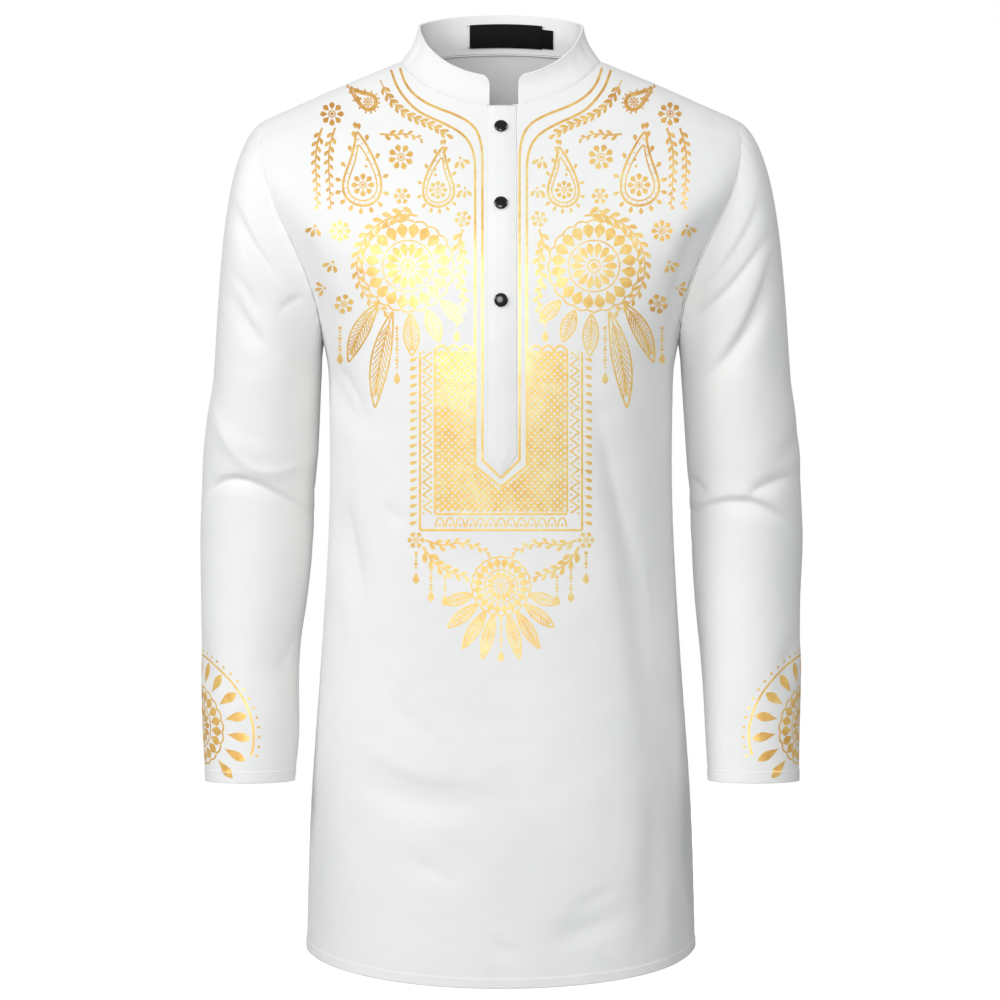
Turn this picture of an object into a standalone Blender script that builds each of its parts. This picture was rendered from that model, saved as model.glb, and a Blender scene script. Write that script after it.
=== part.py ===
"""Long-sleeve tunic shirt in its worn, hollow form, with a stand collar and a buttoned half placket.

Run it with blender --background --python part.py, or from the text editor.
Metres, +Z up. The front faces -Y and the wearer's left is +X. The origin is in the middle of the
neck opening, level with the points where the shoulder seams meet the collar.
"""

import math

import bpy
import numpy as np

# Cloth and sewing
BODY_WALL = 0.0016
COLLAR_WALL = 0.0022
PLACKET_WALL = 0.0012
LABEL_WALL = 0.0010
SEAM_GAP = 0.0004
SLEEVE_GAP = 0.0005
LABEL_GAP = 0.0007

# Half placket, down the centre front. The button strip fills a slot in the front panel, and the
# buttonhole strip lies over both.
PLACKET_HALF_WIDTH = 0.0142
PLACKET_SQUARE_END_Z = -0.3690
PLACKET_TIP_Z = -0.3880
SLOT_HALF_WIDTH = 0.0105
SLOT_END_Z = -0.3550
STRIP_TOP_T = 0.9985
STRIP_ROW_HEIGHT = 0.0130
BUTTON_Z = {"button_top": -0.0680, "button_middle": -0.1415, "button_bottom": -0.2300}
BUTTON_RADIUS = 0.0062
BUTTON_DOME = 0.0026
BUTTON_SHANK_RADIUS = 0.0011
BUTTONHOLE_HALF_WIDTH = 0.0016
BUTTONHOLE_HALF_HEIGHT = 0.0048

# Stand collar: it rises from the neck seam to a smaller ring
COLLAR_TOP = {
    "half_width": 0.0768,
    "side_y": 0.0030,
    "side_z": 0.0360,
    "front_y": -0.0450,
    "front_z": -0.0185,
    "back_y": 0.0455,
    "back_z": 0.0515,
}
COLLAR_DIP_POWER = 1.15
COLLAR_HOLLOW = -0.0030
COLLAR_END_RIGHT_X = -0.0105
COLLAR_END_LEFT_X = 0.0160
COLLAR_CORNER = 0.0075
COLLAR_END_SHARE = 0.70

# Neck label and the tab beside it, inside the back of the collar
LABEL_FROM_X, LABEL_TO_X = -0.0304, 0.0400
TAB_FROM_X, TAB_TO_X = 0.0405, 0.0507
LABEL_LOW, LABEL_HIGH = 0.17, 0.75
TAB_LOW, TAB_HIGH = 0.19, 0.66

# The trunk is a stack of rings, t = 0 at the hem and 1 at the neck seam. Each ring has its widest
# points at the side or shoulder seam and dips in z towards the centre front and the centre back.
SIDE_COLUMNS = ("t", "half_width", "side_y", "side_z", "full")
SIDE_ROWS = (
    (0.00, 0.1815, 0.004, -0.824, 0.26),
    (0.14, 0.1780, 0.004, -0.706, 0.28),
    (0.28, 0.1705, 0.004, -0.592, 0.30),
    (0.42, 0.1630, 0.003, -0.478, 0.32),
    (0.57, 0.1595, 0.002, -0.366, 0.36),
    (0.65, 0.1605, 0.002, -0.304, 0.36),
    (0.70, 0.1660, 0.002, -0.262, 0.31),
    (0.74, 0.1860, 0.002, -0.203, 0.21),
    (0.78, 0.2160, 0.002, -0.137, 0.10),
    (0.82, 0.2360, 0.002, -0.083, 0.03),
    (0.86, 0.2225, 0.002, -0.0545, 0.00),
    (0.88, 0.2041, 0.0023, -0.0458, 0.00),
    (0.93, 0.1580, 0.003, -0.0252, 0.00),
    (1.00, 0.0935, 0.004, 0.0020, 0.00),
)
CENTRE_COLUMNS = ("t", "front_y", "front_z", "back_y", "back_z")
CENTRE_ROWS = (
    (0.00, -0.127, -0.845, 0.137, -0.848),
    (0.14, -0.122, -0.716, 0.135, -0.716),
    (0.28, -0.116, -0.596, 0.128, -0.594),
    (0.42, -0.113, -0.480, 0.113, -0.478),
    (0.57, -0.118, -0.376, 0.110, -0.370),
    (0.70, -0.123, -0.294, 0.118, -0.284),
    (0.78, -0.122, -0.240, 0.122, -0.222),
    (0.86, -0.111, -0.176, 0.115, -0.142),
    (0.93, -0.083, -0.108, 0.089, -0.058),
    (1.00, -0.050, -0.0456, 0.050, 0.0155),
)
DIP_POWER = 1.5

# Armholes: between these levels each panel's edge stands this far before or behind the side line
ARMHOLE_LOW_T, ARMHOLE_HIGH_T = 0.70, 0.86
ARMHOLE_FRONT = 0.058
ARMHOLE_BACK = 0.060

# Rings down each arm, from the bicep to the cuff, x measured outwards
CAP_END_S = 0.20
ARM_COLUMNS = ("s", "x", "y", "z", "half_width", "half_depth")
ARM_ROWS = {
    "left": (
        (0.20, 0.2205, 0.008, -0.298, 0.0510, 0.0630),
        (0.32, 0.2268, 0.012, -0.358, 0.0532, 0.0610),
        (0.40, 0.2290, 0.014, -0.400, 0.0524, 0.0600),
        (0.46, 0.2306, 0.013, -0.432, 0.0524, 0.0590),
        (0.60, 0.2308, 0.004, -0.504, 0.0490, 0.0550),
        (0.72, 0.2330, -0.008, -0.560, 0.0464, 0.0500),
        (0.86, 0.2331, -0.022, -0.622, 0.0436, 0.0430),
        (1.00, 0.2333, -0.034, -0.667, 0.0418, 0.0370),
    ),
    "right": (
        (0.20, 0.2190, 0.008, -0.298, 0.0505, 0.0630),
        (0.32, 0.2250, 0.012, -0.358, 0.0535, 0.0610),
        (0.40, 0.2278, 0.014, -0.400, 0.0530, 0.0600),
        (0.46, 0.2288, 0.013, -0.432, 0.0530, 0.0590),
        (0.60, 0.2312, 0.004, -0.504, 0.0492, 0.0550),
        (0.72, 0.2335, -0.008, -0.560, 0.0456, 0.0500),
        (0.86, 0.2318, -0.022, -0.622, 0.0446, 0.0430),
        (1.00, 0.2316, -0.034, -0.667, 0.0409, 0.0370),
    ),
}
# The way that the sleeve leaves the armhole at four places, as a share of its length to the bicep
CAP_LEAVES = {
    "top": (0.48, 0.00, -0.30),
    "front": (0.62, -0.16, -0.42),
    "under": (0.12, 0.00, -0.90),
    "back": (0.60, 0.16, -0.42),
}
CAP_ARRIVES = (0.08, 0.0, -1.0)

# Folds, seen from the front or the back: a curve from a start through a bend to an end, the spread
# of the fold to each side and its rise out of the cloth. A trough has a negative rise.
FOLD_COLUMNS = ("x0", "z0", "x1", "z1", "x2", "z2", "spread", "rise")
FRONT_FOLDS = (
    (0.196, -0.140, 0.150, -0.190, 0.150, -0.285, 0.013, -0.0050),
    (0.095, -0.330, 0.125, -0.460, 0.140, -0.640, 0.014, -0.0055),
    (0.140, -0.650, 0.142, -0.730, 0.136, -0.815, 0.014, -0.0040),
    (-0.160, -0.280, -0.145, -0.320, -0.125, -0.345, 0.011, -0.0040),
    (-0.150, -0.410, -0.140, -0.450, -0.128, -0.515, 0.011, -0.0035),
    (-0.125, -0.655, -0.085, -0.690, -0.020, -0.680, 0.013, -0.0035),
    (0.110, -0.775, 0.075, -0.800, 0.045, -0.800, 0.011, -0.0025),
    (-0.196, -0.150, -0.160, -0.200, -0.158, -0.270, 0.010, -0.0030),
)
BACK_FOLDS = (
    (0.185, -0.140, 0.145, -0.200, 0.135, -0.300, 0.013, -0.0050),
    (-0.188, -0.145, -0.150, -0.205, -0.142, -0.295, 0.012, -0.0045),
    (0.060, -0.360, 0.085, -0.500, 0.100, -0.700, 0.016, -0.0060),
    (-0.070, -0.380, -0.090, -0.520, -0.085, -0.720, 0.015, -0.0055),
    (0.010, -0.420, 0.005, -0.560, 0.020, -0.760, 0.015, -0.0035),
)
SLEEVE_FOLDS = {
    "left": (
        (0.181, -0.243, 0.215, -0.190, 0.247, -0.165, 0.008, -0.0035),
        (0.190, -0.295, 0.235, -0.260, 0.252, -0.195, 0.009, -0.0040),
        (0.179, -0.420, 0.215, -0.400, 0.272, -0.432, 0.008, -0.0045),
        (0.232, -0.405, 0.250, -0.390, 0.275, -0.386, 0.007, -0.0035),
        (0.281, -0.330, 0.275, -0.360, 0.255, -0.372, 0.008, -0.0035),
        (0.280, -0.530, 0.262, -0.550, 0.256, -0.590, 0.008, -0.0030),
    ),
    "right": (
        (-0.246, -0.138, -0.228, -0.180, -0.206, -0.202, 0.008, -0.0040),
        (-0.250, -0.215, -0.235, -0.260, -0.215, -0.268, 0.009, -0.0035),
        (-0.276, -0.400, -0.240, -0.370, -0.182, -0.418, 0.008, -0.0050),
        (-0.270, -0.330, -0.245, -0.375, -0.180, -0.362, 0.010, 0.0030),
        (-0.278, -0.530, -0.272, -0.550, -0.267, -0.580, 0.008, -0.0025),
    ),
}
SLEEVE_BACK_FOLDS = (
    (0.185, -0.250, 0.220, -0.200, 0.250, -0.180, 0.010, -0.0040),
    (0.180, -0.400, 0.225, -0.385, 0.275, -0.420, 0.009, -0.0035),
    (0.182, -0.450, 0.225, -0.440, 0.268, -0.465, 0.009, -0.0030),
)

# Colours
WHITE = (0.86, 0.86, 0.84)
BLACK = (0.011, 0.011, 0.013)

# Grid sizes
BELOW_ARMPIT_ROWS = 19
ARMHOLE_ROWS = 12
SHOULDER_ROWS = 5
FRONT_HALF_COLUMNS = 10
BACK_COLUMNS = 16
SLEEVE_COLUMNS = 24
CAP_ROWS = 7
ARM_GRID_ROWS = 20
COLLAR_COLUMNS = 40
COLLAR_GRID_ROWS = 3


def table(rows, columns):
    """The other columns as a function of the first one, on a smooth curve through the rows."""
    data = np.array(rows, float)
    at, values = data[:, 0], data[:, 1:]
    step = np.diff(at)
    slope = np.diff(values, axis=0) / step[:, None]
    # The slope at each row, such that the curve bends evenly through it
    balance = np.eye(len(at))
    wanted = np.vstack([slope[:1], np.zeros((len(at) - 2, values.shape[1])), slope[-1:]])
    for i in range(1, len(at) - 1):
        balance[i, i - 1 : i + 2] = step[i], 2 * (step[i - 1] + step[i]), step[i - 1]
        wanted[i] = 3 * (step[i] * slope[i - 1] + step[i - 1] * slope[i])
    tangent = np.linalg.solve(balance, wanted)

    def values_at(level):
        level = np.clip(np.asarray(level, float), at[0], at[-1])
        i = np.clip(np.searchsorted(at, level, side="right") - 1, 0, len(at) - 2)
        h = (at[i + 1] - at[i])[..., None]
        u = (level - at[i])[..., None] / h
        found = (
            (1 + 2 * u) * (1 - u) ** 2 * values[i]
            + u * (1 - u) ** 2 * h * tangent[i]
            + u * u * (3 - 2 * u) * values[i + 1]
            + u * u * (u - 1) * h * tangent[i + 1]
        )
        return dict(zip(columns[1:], np.moveaxis(found, -1, 0)))

    return values_at


side_at = table(SIDE_ROWS, SIDE_COLUMNS)
centre_at = table(CENTRE_ROWS, CENTRE_COLUMNS)
arm_at = {side: table(rows, ARM_COLUMNS) for side, rows in ARM_ROWS.items()}


def unit(vectors):
    return vectors / np.maximum(np.linalg.norm(vectors, axis=-1, keepdims=True), 1e-12)


def smooth(value, low, high):
    u = np.clip((value - low) / (high - low), 0, 1)
    return u * u * (3 - 2 * u)


def fold_rise(points, folds):
    """How far the folds lift each point, from its place in the front view."""
    x, z = points[..., 0], points[..., 2]
    total = np.zeros_like(x)
    along = np.linspace(0, 1, 13)
    for x0, z0, x1, z1, x2, z2, spread, rise in folds:
        curve = np.outer((1 - along) ** 2, (x0, z0)) + np.outer(along**2, (x2, z2))
        curve += np.outer(2 * along * (1 - along), (x1, z1))
        nearest, place = np.full_like(x, 9.0), np.zeros_like(x)
        for i in range(len(along) - 1):
            (ax, az), (bx, bz) = curve[i], curve[i + 1]
            dx, dz = bx - ax, bz - az
            u = np.clip(((x - ax) * dx + (z - az) * dz) / (dx * dx + dz * dz), 0, 1)
            away = np.hypot(x - ax - u * dx, z - az - u * dz)
            place = np.where(away < nearest, along[i] + u * (along[i + 1] - along[i]), place)
            nearest = np.minimum(away, nearest)
        total += rise * np.exp(-((nearest / spread) ** 2)) * np.sin(math.pi * (0.08 + 0.84 * place))
    return total


def edge_angle(reach, full, stands_off):
    """The angle at which a ring is as far before or behind the side line as stands_off."""
    ahead = stands_off / reach
    for _ in range(12):
        ahead = stands_off / (reach * (1 + full * (1 - ahead**2)))
    return np.arccos(np.clip(ahead, 0, 1))


def armhole_open(t):
    """How far the armhole has opened at a level: 0 at its ends, 1 in its middle."""
    middle, half = (ARMHOLE_LOW_T + ARMHOLE_HIGH_T) / 2, (ARMHOLE_HIGH_T - ARMHOLE_LOW_T) / 2
    return np.sqrt(np.clip(1 - ((t - middle) / half) ** 2, 0, 1))


def panel_edge(t, back, gap):
    """The angle, from the panel's own centre line, of its edge at a level."""
    side, centre = side_at(t), centre_at(t)
    reach = centre["back_y"] - side["side_y"] if back else side["side_y"] - centre["front_y"]
    depth = ARMHOLE_BACK if back else ARMHOLE_FRONT
    return edge_angle(reach, side["full"], gap + depth * armhole_open(t))


def trunk_form(angle, t, back=False):
    """The trunk without folds. angle is 0 on the panel's centre line and positive towards +X."""
    side, centre = side_at(t), centre_at(t)
    name, way = ("back", 1) if back else ("front", -1)
    across, ahead = np.sin(angle), np.cos(angle)
    reach = np.abs(centre[name + "_y"] - side["side_y"])
    x = side["half_width"] * across
    y = side["side_y"] + way * reach * ahead * (1 + side["full"] * across**2)
    dip = np.sign(ahead) * np.abs(ahead) ** DIP_POWER
    z = side["side_z"] + (centre[name + "_z"] - side["side_z"]) * dip
    return np.stack(np.broadcast_arrays(x, y, z), axis=-1)


def normals_of(surface, u, v, outward):
    """Normals by small steps over the surface, turned to the side that outward gives."""
    step_u, step_v = 2e-3, 1e-3
    du = surface(u + step_u, v) - surface(u - step_u, v)
    dv = surface(u, v + step_v) - surface(u, v - step_v)
    return unit(np.cross(du, dv)) * outward


def trunk(angle, t, back=False):
    """(points, normals) of the trunk's outer face with its folds."""
    way = -1 if back else 1

    def folded(angle, t):
        plain = trunk_form(angle, t, back)
        normal = normals_of(lambda a, b: trunk_form(a, b, back), angle, t, way)
        # Folds fade towards the collar, the placket and the side seams
        rise = fold_rise(plain, BACK_FOLDS if back else FRONT_FOLDS)
        rise = rise * smooth(np.abs(np.cos(angle)), 0.0, 0.25)
        return plain + normal * rise[..., None]

    return folded(angle, t), normals_of(folded, angle, t, way)


def armhole(turn, way):
    """(points, normals, way off the panel) round an armhole: turn is 0 on top, 90 degrees in front.

    way is 1 for the left armhole and -1 for the right one, which is given mirrored to +X.
    """
    middle, half = (ARMHOLE_LOW_T + ARMHOLE_HIGH_T) / 2, (ARMHOLE_HIGH_T - ARMHOLE_LOW_T) / 2
    t = middle + half * np.cos(turn)

    def edge(back):
        side, centre = side_at(t), centre_at(t)
        reach = np.abs(centre["back_y" if back else "front_y"] - side["side_y"])
        depth = ARMHOLE_BACK if back else ARMHOLE_FRONT
        angle = edge_angle(reach, side["full"], depth * np.abs(np.sin(turn)))
        return trunk(way * angle, t, back)

    in_front = (np.sin(turn) >= 0)[..., None]
    (front, front_normal), (behind, behind_normal) = edge(False), edge(True)
    points = np.where(in_front, front, behind) * (way, 1, 1)
    normal = np.where(in_front, front_normal, behind_normal) * (way, 1, 1)
    ahead = np.roll(points, -1, axis=0) - np.roll(points, 1, axis=0)
    off = unit(np.cross(unit(ahead), normal))
    return points, normal, np.where((off[..., 0] < 0)[..., None], -off, off)


def sleeve(side, turn, s):
    """(outer points, wall directions) of a sleeve: turn goes round it, s from its armhole to its cuff."""
    way = 1 if side == "left" else -1
    hole, hole_normal, off = armhole(turn, way)
    across, ahead = np.cos(turn), np.sin(turn)
    share = {
        "top": np.clip(across, 0, 1) ** 2,
        "under": np.clip(-across, 0, 1) ** 2,
        "front": np.clip(ahead, 0, 1) ** 2,
        "back": np.clip(-ahead, 0, 1) ** 2,
    }
    leaves = sum(share[k][:, None] * np.array(CAP_LEAVES[k]) for k in CAP_LEAVES)
    # The sleeve starts clear of the panel: beyond its edge, or over its face where it folds back
    fold = np.arctan2(np.sum(leaves * hole_normal, axis=-1), np.sum(leaves * off, axis=-1))
    half_fold = np.clip(fold, 0, math.pi)[:, None] / 2
    start = hole + (off * np.cos(half_fold) + hole_normal * np.sin(half_fold)) * SLEEVE_GAP

    ring = {name: value[:, None] for name, value in arm_at[side](np.maximum(s, CAP_END_S)).items()}
    arm = np.stack(
        [
            ring["x"] + ring["half_width"] * across,
            ring["y"] - ring["half_depth"] * ahead,
            ring["z"] + 0 * across,
        ],
        axis=-1,
    )
    length = np.linalg.norm(arm[0] - start, axis=-1, keepdims=True)
    u = np.clip(s / CAP_END_S, 0, 1)[:, None, None]
    cap = (
        (1 + 2 * u) * (1 - u) ** 2 * start
        + u * (1 - u) ** 2 * leaves * length
        + u * u * (3 - 2 * u) * arm
        + u * u * (u - 1) * np.array(CAP_ARRIVES) * length
    )
    plain = np.where(u < 1, cap, arm) * (way, 1, 1)
    normal = grid_normals(plain) * way
    # Each fold fades towards the armhole, and round the sides to the folds of the other face
    faces_front = smooth(-normal[..., 1], -0.35, 0.35)
    behind = np.array(SLEEVE_BACK_FOLDS) * (way, 1, way, 1, way, 1, 1, 1)
    rise = fold_rise(plain, SLEEVE_FOLDS[side]) * faces_front + fold_rise(plain, behind) * (1 - faces_front)
    points = plain + normal * (rise * smooth(s, 0, CAP_END_S / 2)[:, None])[..., None]
    normal = grid_normals(points) * way
    # At the seam the wall lies along the panel's wall, except where the sleeve folds back over it
    seam = hole_normal * (way, 1, 1)
    along = smooth(np.sum(normal[0] * seam, axis=-1), 0.1, 0.8)[:, None]
    normal[0] = unit(normal[0] * (1 - along) + seam * along)
    return points, normal


def grid_normals(grid):
    """Normals of a tube given as a grid of points, a row for each ring."""
    across = np.roll(grid, -1, axis=1) - np.roll(grid, 1, axis=1)
    return unit(np.cross(across, np.gradient(grid, axis=0)))


def collar_form(angle, up):
    """The collar's outer face: angle is 0 in front, 180 degrees at the back, and up is 0 at its seam."""
    back = np.cos(angle) < 0
    t = np.ones_like(angle)
    own = np.where(back, math.pi - angle, angle)
    seam = np.where(back[..., None], trunk_form(own, t, True), trunk_form(own, t))
    below = np.where(back[..., None], trunk_form(own, t - 0.01, True), trunk_form(own, t - 0.01))
    seam = seam + unit(seam - below) * SEAM_GAP
    across, ahead = np.sin(angle), np.cos(angle)
    top = COLLAR_TOP
    y_reach = np.where(back, top["back_y"], top["front_y"]) - top["side_y"]
    z_reach = np.where(back, top["back_z"], top["front_z"]) - top["side_z"]
    rim = np.stack(
        [
            top["half_width"] * across,
            top["side_y"] + y_reach * np.abs(ahead),
            top["side_z"] + z_reach * np.abs(ahead) ** COLLAR_DIP_POWER,
        ],
        axis=-1,
    )
    out = np.stack([across, -ahead, 0 * across], axis=-1)
    hollow = COLLAR_HOLLOW * np.sin(math.pi * np.clip(up, 0, 1))
    return seam + (rim - seam) * up[..., None] + out * hollow[..., None]


def collar(angle, up):
    return collar_form(angle, up), normals_of(collar_form, angle, up, 1)


def collar_angle(x, up):
    """The angle, from the collar's front or back line, at which it is x from the centre line."""
    seam_half_width = float(side_at(1.0)["half_width"])
    half_width = seam_half_width + (COLLAR_TOP["half_width"] - seam_half_width) * up
    return np.arcsin(x / (half_width + COLLAR_HOLLOW * np.sin(math.pi * up)))


def front_at(x, z, lift):
    """Points over the front panel, by their x and by the z of the centre line, and its normals there."""
    levels = np.linspace(0.3, 1, 1401)
    t = np.interp(z, centre_at(levels)["front_z"], levels)
    angle = np.arcsin(np.clip(x / side_at(t)["half_width"], -1, 1))
    points, normal = trunk(angle, t)
    return points + normal * lift, normal


def add_piece(name, vertices, faces, material):
    mesh = bpy.data.meshes.new(name)
    mesh.from_pydata([tuple(v) for v in vertices], [], faces)
    mesh.validate()
    mesh.materials.append(material)
    for polygon in mesh.polygons:
        polygon.use_smooth = True
    piece = bpy.data.objects.new(name, mesh)
    bpy.context.scene.collection.objects.link(piece)
    return piece


def add_wall(name, outer, normal, wall, material, closed=False, left_out=None):
    """A cloth wall: the grid of outer points, the same grid one wall deeper, and the edges between them."""
    rows, columns = outer.shape[:2]
    inner = outer - normal * wall
    vertices = np.concatenate([outer.reshape(-1, 3), inner.reshape(-1, 3)])
    beneath = rows * columns
    outward = []
    for i in range(rows - 1):
        for j in range(columns if closed else columns - 1):
            if left_out is not None and left_out[i, j]:
                continue
            k = (j + 1) % columns
            row, below = i * columns, (i + 1) * columns
            outward.append((row + j, row + k, below + k, below + j))
    a, b, d = (outer.reshape(-1, 3)[[quad[n] for quad in outward]] for n in (0, 1, 3))
    facing = np.sum(np.cross(b - a, d - a) * normal.reshape(-1, 3)[[quad[0] for quad in outward]])
    if facing < 0:
        outward = [quad[::-1] for quad in outward]
    faces = outward + [tuple(v + beneath for v in quad[::-1]) for quad in outward]
    edges = {(quad[n], quad[(n + 1) % 4]) for quad in outward for n in range(4)}
    for p, q in edges:
        if (q, p) not in edges:
            faces.append((q, p, p + beneath, q + beneath))
    used = sorted({v for face in faces for v in face})
    new = {v: n for n, v in enumerate(used)}
    return add_piece(name, vertices[used], [tuple(new[v] for v in face) for face in faces], material)


def trunk_levels():
    below = np.linspace(0, ARMHOLE_LOW_T, BELOW_ARMPIT_ROWS + 1)[:-1]
    middle, half = (ARMHOLE_LOW_T + ARMHOLE_HIGH_T) / 2, (ARMHOLE_HIGH_T - ARMHOLE_LOW_T) / 2
    beside = middle - half * np.cos(np.linspace(0, math.pi, ARMHOLE_ROWS + 1))
    above = np.linspace(ARMHOLE_HIGH_T, 1, SHOULDER_ROWS + 1)[1:]
    return np.concatenate([below, beside, above])


def slot_end_row(t):
    """The row of the front panel at which the placket's slot ends."""
    return np.argmin(np.abs(centre_at(t)["front_z"] - SLOT_END_Z))


def add_front(material):
    """The front panel, with the placket's slot in its centre front."""
    t = trunk_levels()
    edge = panel_edge(t, False, SEAM_GAP / 2)
    slot = np.arcsin(SLOT_HALF_WIDTH / side_at(t)["half_width"])
    spread = np.linspace(0, 1, FRONT_HALF_COLUMNS)
    half = slot[:, None] + (edge - slot)[:, None] * spread
    angle = np.concatenate([-half[:, ::-1], half], axis=1)
    outer, normal = trunk(angle, t[:, None] + 0 * angle)
    left_out = np.zeros((len(t) - 1, angle.shape[1] - 1), bool)
    left_out[slot_end_row(t) :, FRONT_HALF_COLUMNS - 1] = True
    return add_wall("front", outer, normal, BODY_WALL, material, left_out=left_out)


def add_back(material):
    t = trunk_levels()
    edge = panel_edge(t, True, SEAM_GAP / 2)
    angle = edge[:, None] * np.linspace(-1, 1, BACK_COLUMNS + 1)
    outer, normal = trunk(angle, t[:, None] + 0 * angle, True)
    return add_wall("back", outer, normal, BODY_WALL, material)


def add_sleeve(side, material):
    """A sleeve, from its armhole to its cuff, with closer rows near the armhole."""
    turn = np.linspace(0, 2 * math.pi, SLEEVE_COLUMNS, endpoint=False)
    cap = CAP_END_S * np.linspace(0, 1, CAP_ROWS + 1)[:-1] ** 1.15
    points, normal = sleeve(side, turn, np.concatenate([cap, np.linspace(CAP_END_S, 1, ARM_GRID_ROWS + 1)]))
    return add_wall("sleeve_" + side, points, normal, BODY_WALL, material, closed=True)


def add_collar(material):
    """The collar, from its end beside the placket round the back to its other end."""
    length = 2 * math.pi * COLLAR_TOP["half_width"]
    corner = COLLAR_CORNER / length
    rounded = corner * (1 - np.cos(np.linspace(0, math.pi / 2, 5)))
    middle = np.linspace(corner, 1 - corner, COLLAR_COLUMNS - 7)
    share = np.concatenate([rounded, middle[1:-1], (1 - rounded)[::-1]])
    from_end = np.minimum(share, 1 - share) / corner
    fall = 1 - np.sqrt(np.clip(1 - np.clip(1 - from_end, 0, 1) ** 2, 0, 1))
    height = 1 - (1 - COLLAR_END_SHARE) * fall
    up = np.linspace(0, 1, COLLAR_GRID_ROWS + 1)[:, None] * height
    # Both ends stand upright
    first = collar_angle(COLLAR_END_LEFT_X, up)
    last = 2 * math.pi + collar_angle(COLLAR_END_RIGHT_X, up)
    outer, normal = collar(first + (last - first) * share, up)
    return add_wall("collar", outer, normal, COLLAR_WALL, material)


def add_strips(material, slot_end_t):
    """The buttonhole strip over the placket, and the button strip in the slot below it."""
    top_z = centre_at(STRIP_TOP_T)["front_z"]
    slit = []
    for z in BUTTON_Z.values():
        slit += [z + BUTTONHOLE_HALF_HEIGHT, z - BUTTONHOLE_HALF_HEIGHT]
    levels = [top_z]
    for stop in slit + [PLACKET_SQUARE_END_Z]:
        count = max(1, round((levels[-1] - stop) / STRIP_ROW_HEIGHT))
        levels += list(np.linspace(levels[-1], stop, count + 1)[1:])
    z = np.array(levels + [PLACKET_TIP_Z + 0.0005])
    widths = np.where(z >= PLACKET_SQUARE_END_Z - 1e-6, 1.0, 0.04)
    slit_lane = BUTTONHOLE_HALF_WIDTH / PLACKET_HALF_WIDTH
    lanes = np.array([-1, -0.55, -slit_lane, slit_lane, 0.55, 1])
    x = PLACKET_HALF_WIDTH * widths[:, None] * lanes
    outer, normal = front_at(x, z[:, None] + 0 * x, SEAM_GAP + PLACKET_WALL)
    left_out = np.zeros((len(z) - 1, len(lanes) - 1), bool)
    for i in range(len(z) - 1):
        middle = (z[i] + z[i + 1]) / 2
        left_out[i, 2] = any(abs(middle - at) < BUTTONHOLE_HALF_HEIGHT for at in BUTTON_Z.values())
    add_wall("placket_over", outer, normal, PLACKET_WALL, material, left_out=left_out)

    end_z = centre_at(slot_end_t)["front_z"] + 2 * SEAM_GAP
    z = np.linspace(top_z, end_z, round((top_z - end_z) / STRIP_ROW_HEIGHT) + 1)[:, None]
    x = (SLOT_HALF_WIDTH - SEAM_GAP) * np.linspace(-1, 1, 5)
    outer, normal = front_at(x + 0 * z, z + 0 * x, 0.0)
    add_wall("placket_under", outer, normal, PLACKET_WALL, material)


def add_buttons(material):
    """Domed buttons on a thread shank that comes up through the buttonhole."""
    turns = np.linspace(0, 2 * math.pi, 24, endpoint=False)
    bevel, rim = 0.0004, 0.0009
    # (radius, height over the seat), from the foot of the shank out and over the dome
    profile = [
        (BUTTON_SHANK_RADIUS, SEAM_GAP / 2 - PLACKET_WALL - SEAM_GAP),
        (BUTTON_SHANK_RADIUS, 0.0),
        (BUTTON_RADIUS - bevel, 0.0),
        (BUTTON_RADIUS, bevel),
        (BUTTON_RADIUS, rim),
    ]
    for share in (0.85, 0.66, 0.44, 0.22):
        dome = rim + (BUTTON_DOME - rim) * math.sqrt(1 - share**2.4)
        profile.append((BUTTON_RADIUS * share, dome))
    for name, z in BUTTON_Z.items():
        seat, normal = front_at(np.array([0.0]), np.array([z]), SEAM_GAP * 2 + PLACKET_WALL)
        seat, normal = seat[0], normal[0]
        right = np.array([1.0, 0.0, 0.0])
        above = np.cross(normal, right)
        vertices = [seat + normal * profile[0][1]]
        for radius, height in profile:
            ring = [right * math.cos(a) + above * math.sin(a) for a in turns]
            vertices += [seat + normal * height + point * radius for point in ring]
        vertices.append(seat + normal * BUTTON_DOME)
        n = len(turns)
        faces = []
        for j in range(n):
            k = (j + 1) % n
            faces.append((0, 1 + j, 1 + k))
            for i in range(len(profile) - 1):
                low, high = 1 + i * n, 1 + (i + 1) * n
                faces.append((low + k, low + j, high + j, high + k))
            last = 1 + (len(profile) - 1) * n
            faces.append((last + k, last + j, len(vertices) - 1))
        if np.dot(np.cross(right, above), normal) > 0:
            faces = [face[::-1] for face in faces]
        add_piece(name, vertices, faces, material)


def add_label(name, from_x, to_x, low, high, columns, material):
    """A blank label on the inner face of the back of the collar."""
    x = np.linspace(from_x, to_x, columns)
    up = np.linspace(low, high, 3)[:, None]
    angle = math.pi - collar_angle(x, up)
    outer, normal = collar(angle, up + 0 * angle)
    return add_wall(name, outer - normal * (COLLAR_WALL + LABEL_GAP), normal, LABEL_WALL, material)


def material_of(name, colour, roughness):
    material = bpy.data.materials.new(name)
    material.use_nodes = True
    shader = material.node_tree.nodes["Principled BSDF"]
    shader.inputs["Base Color"].default_value = (*colour, 1)
    shader.inputs["Roughness"].default_value = roughness
    return material


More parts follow.
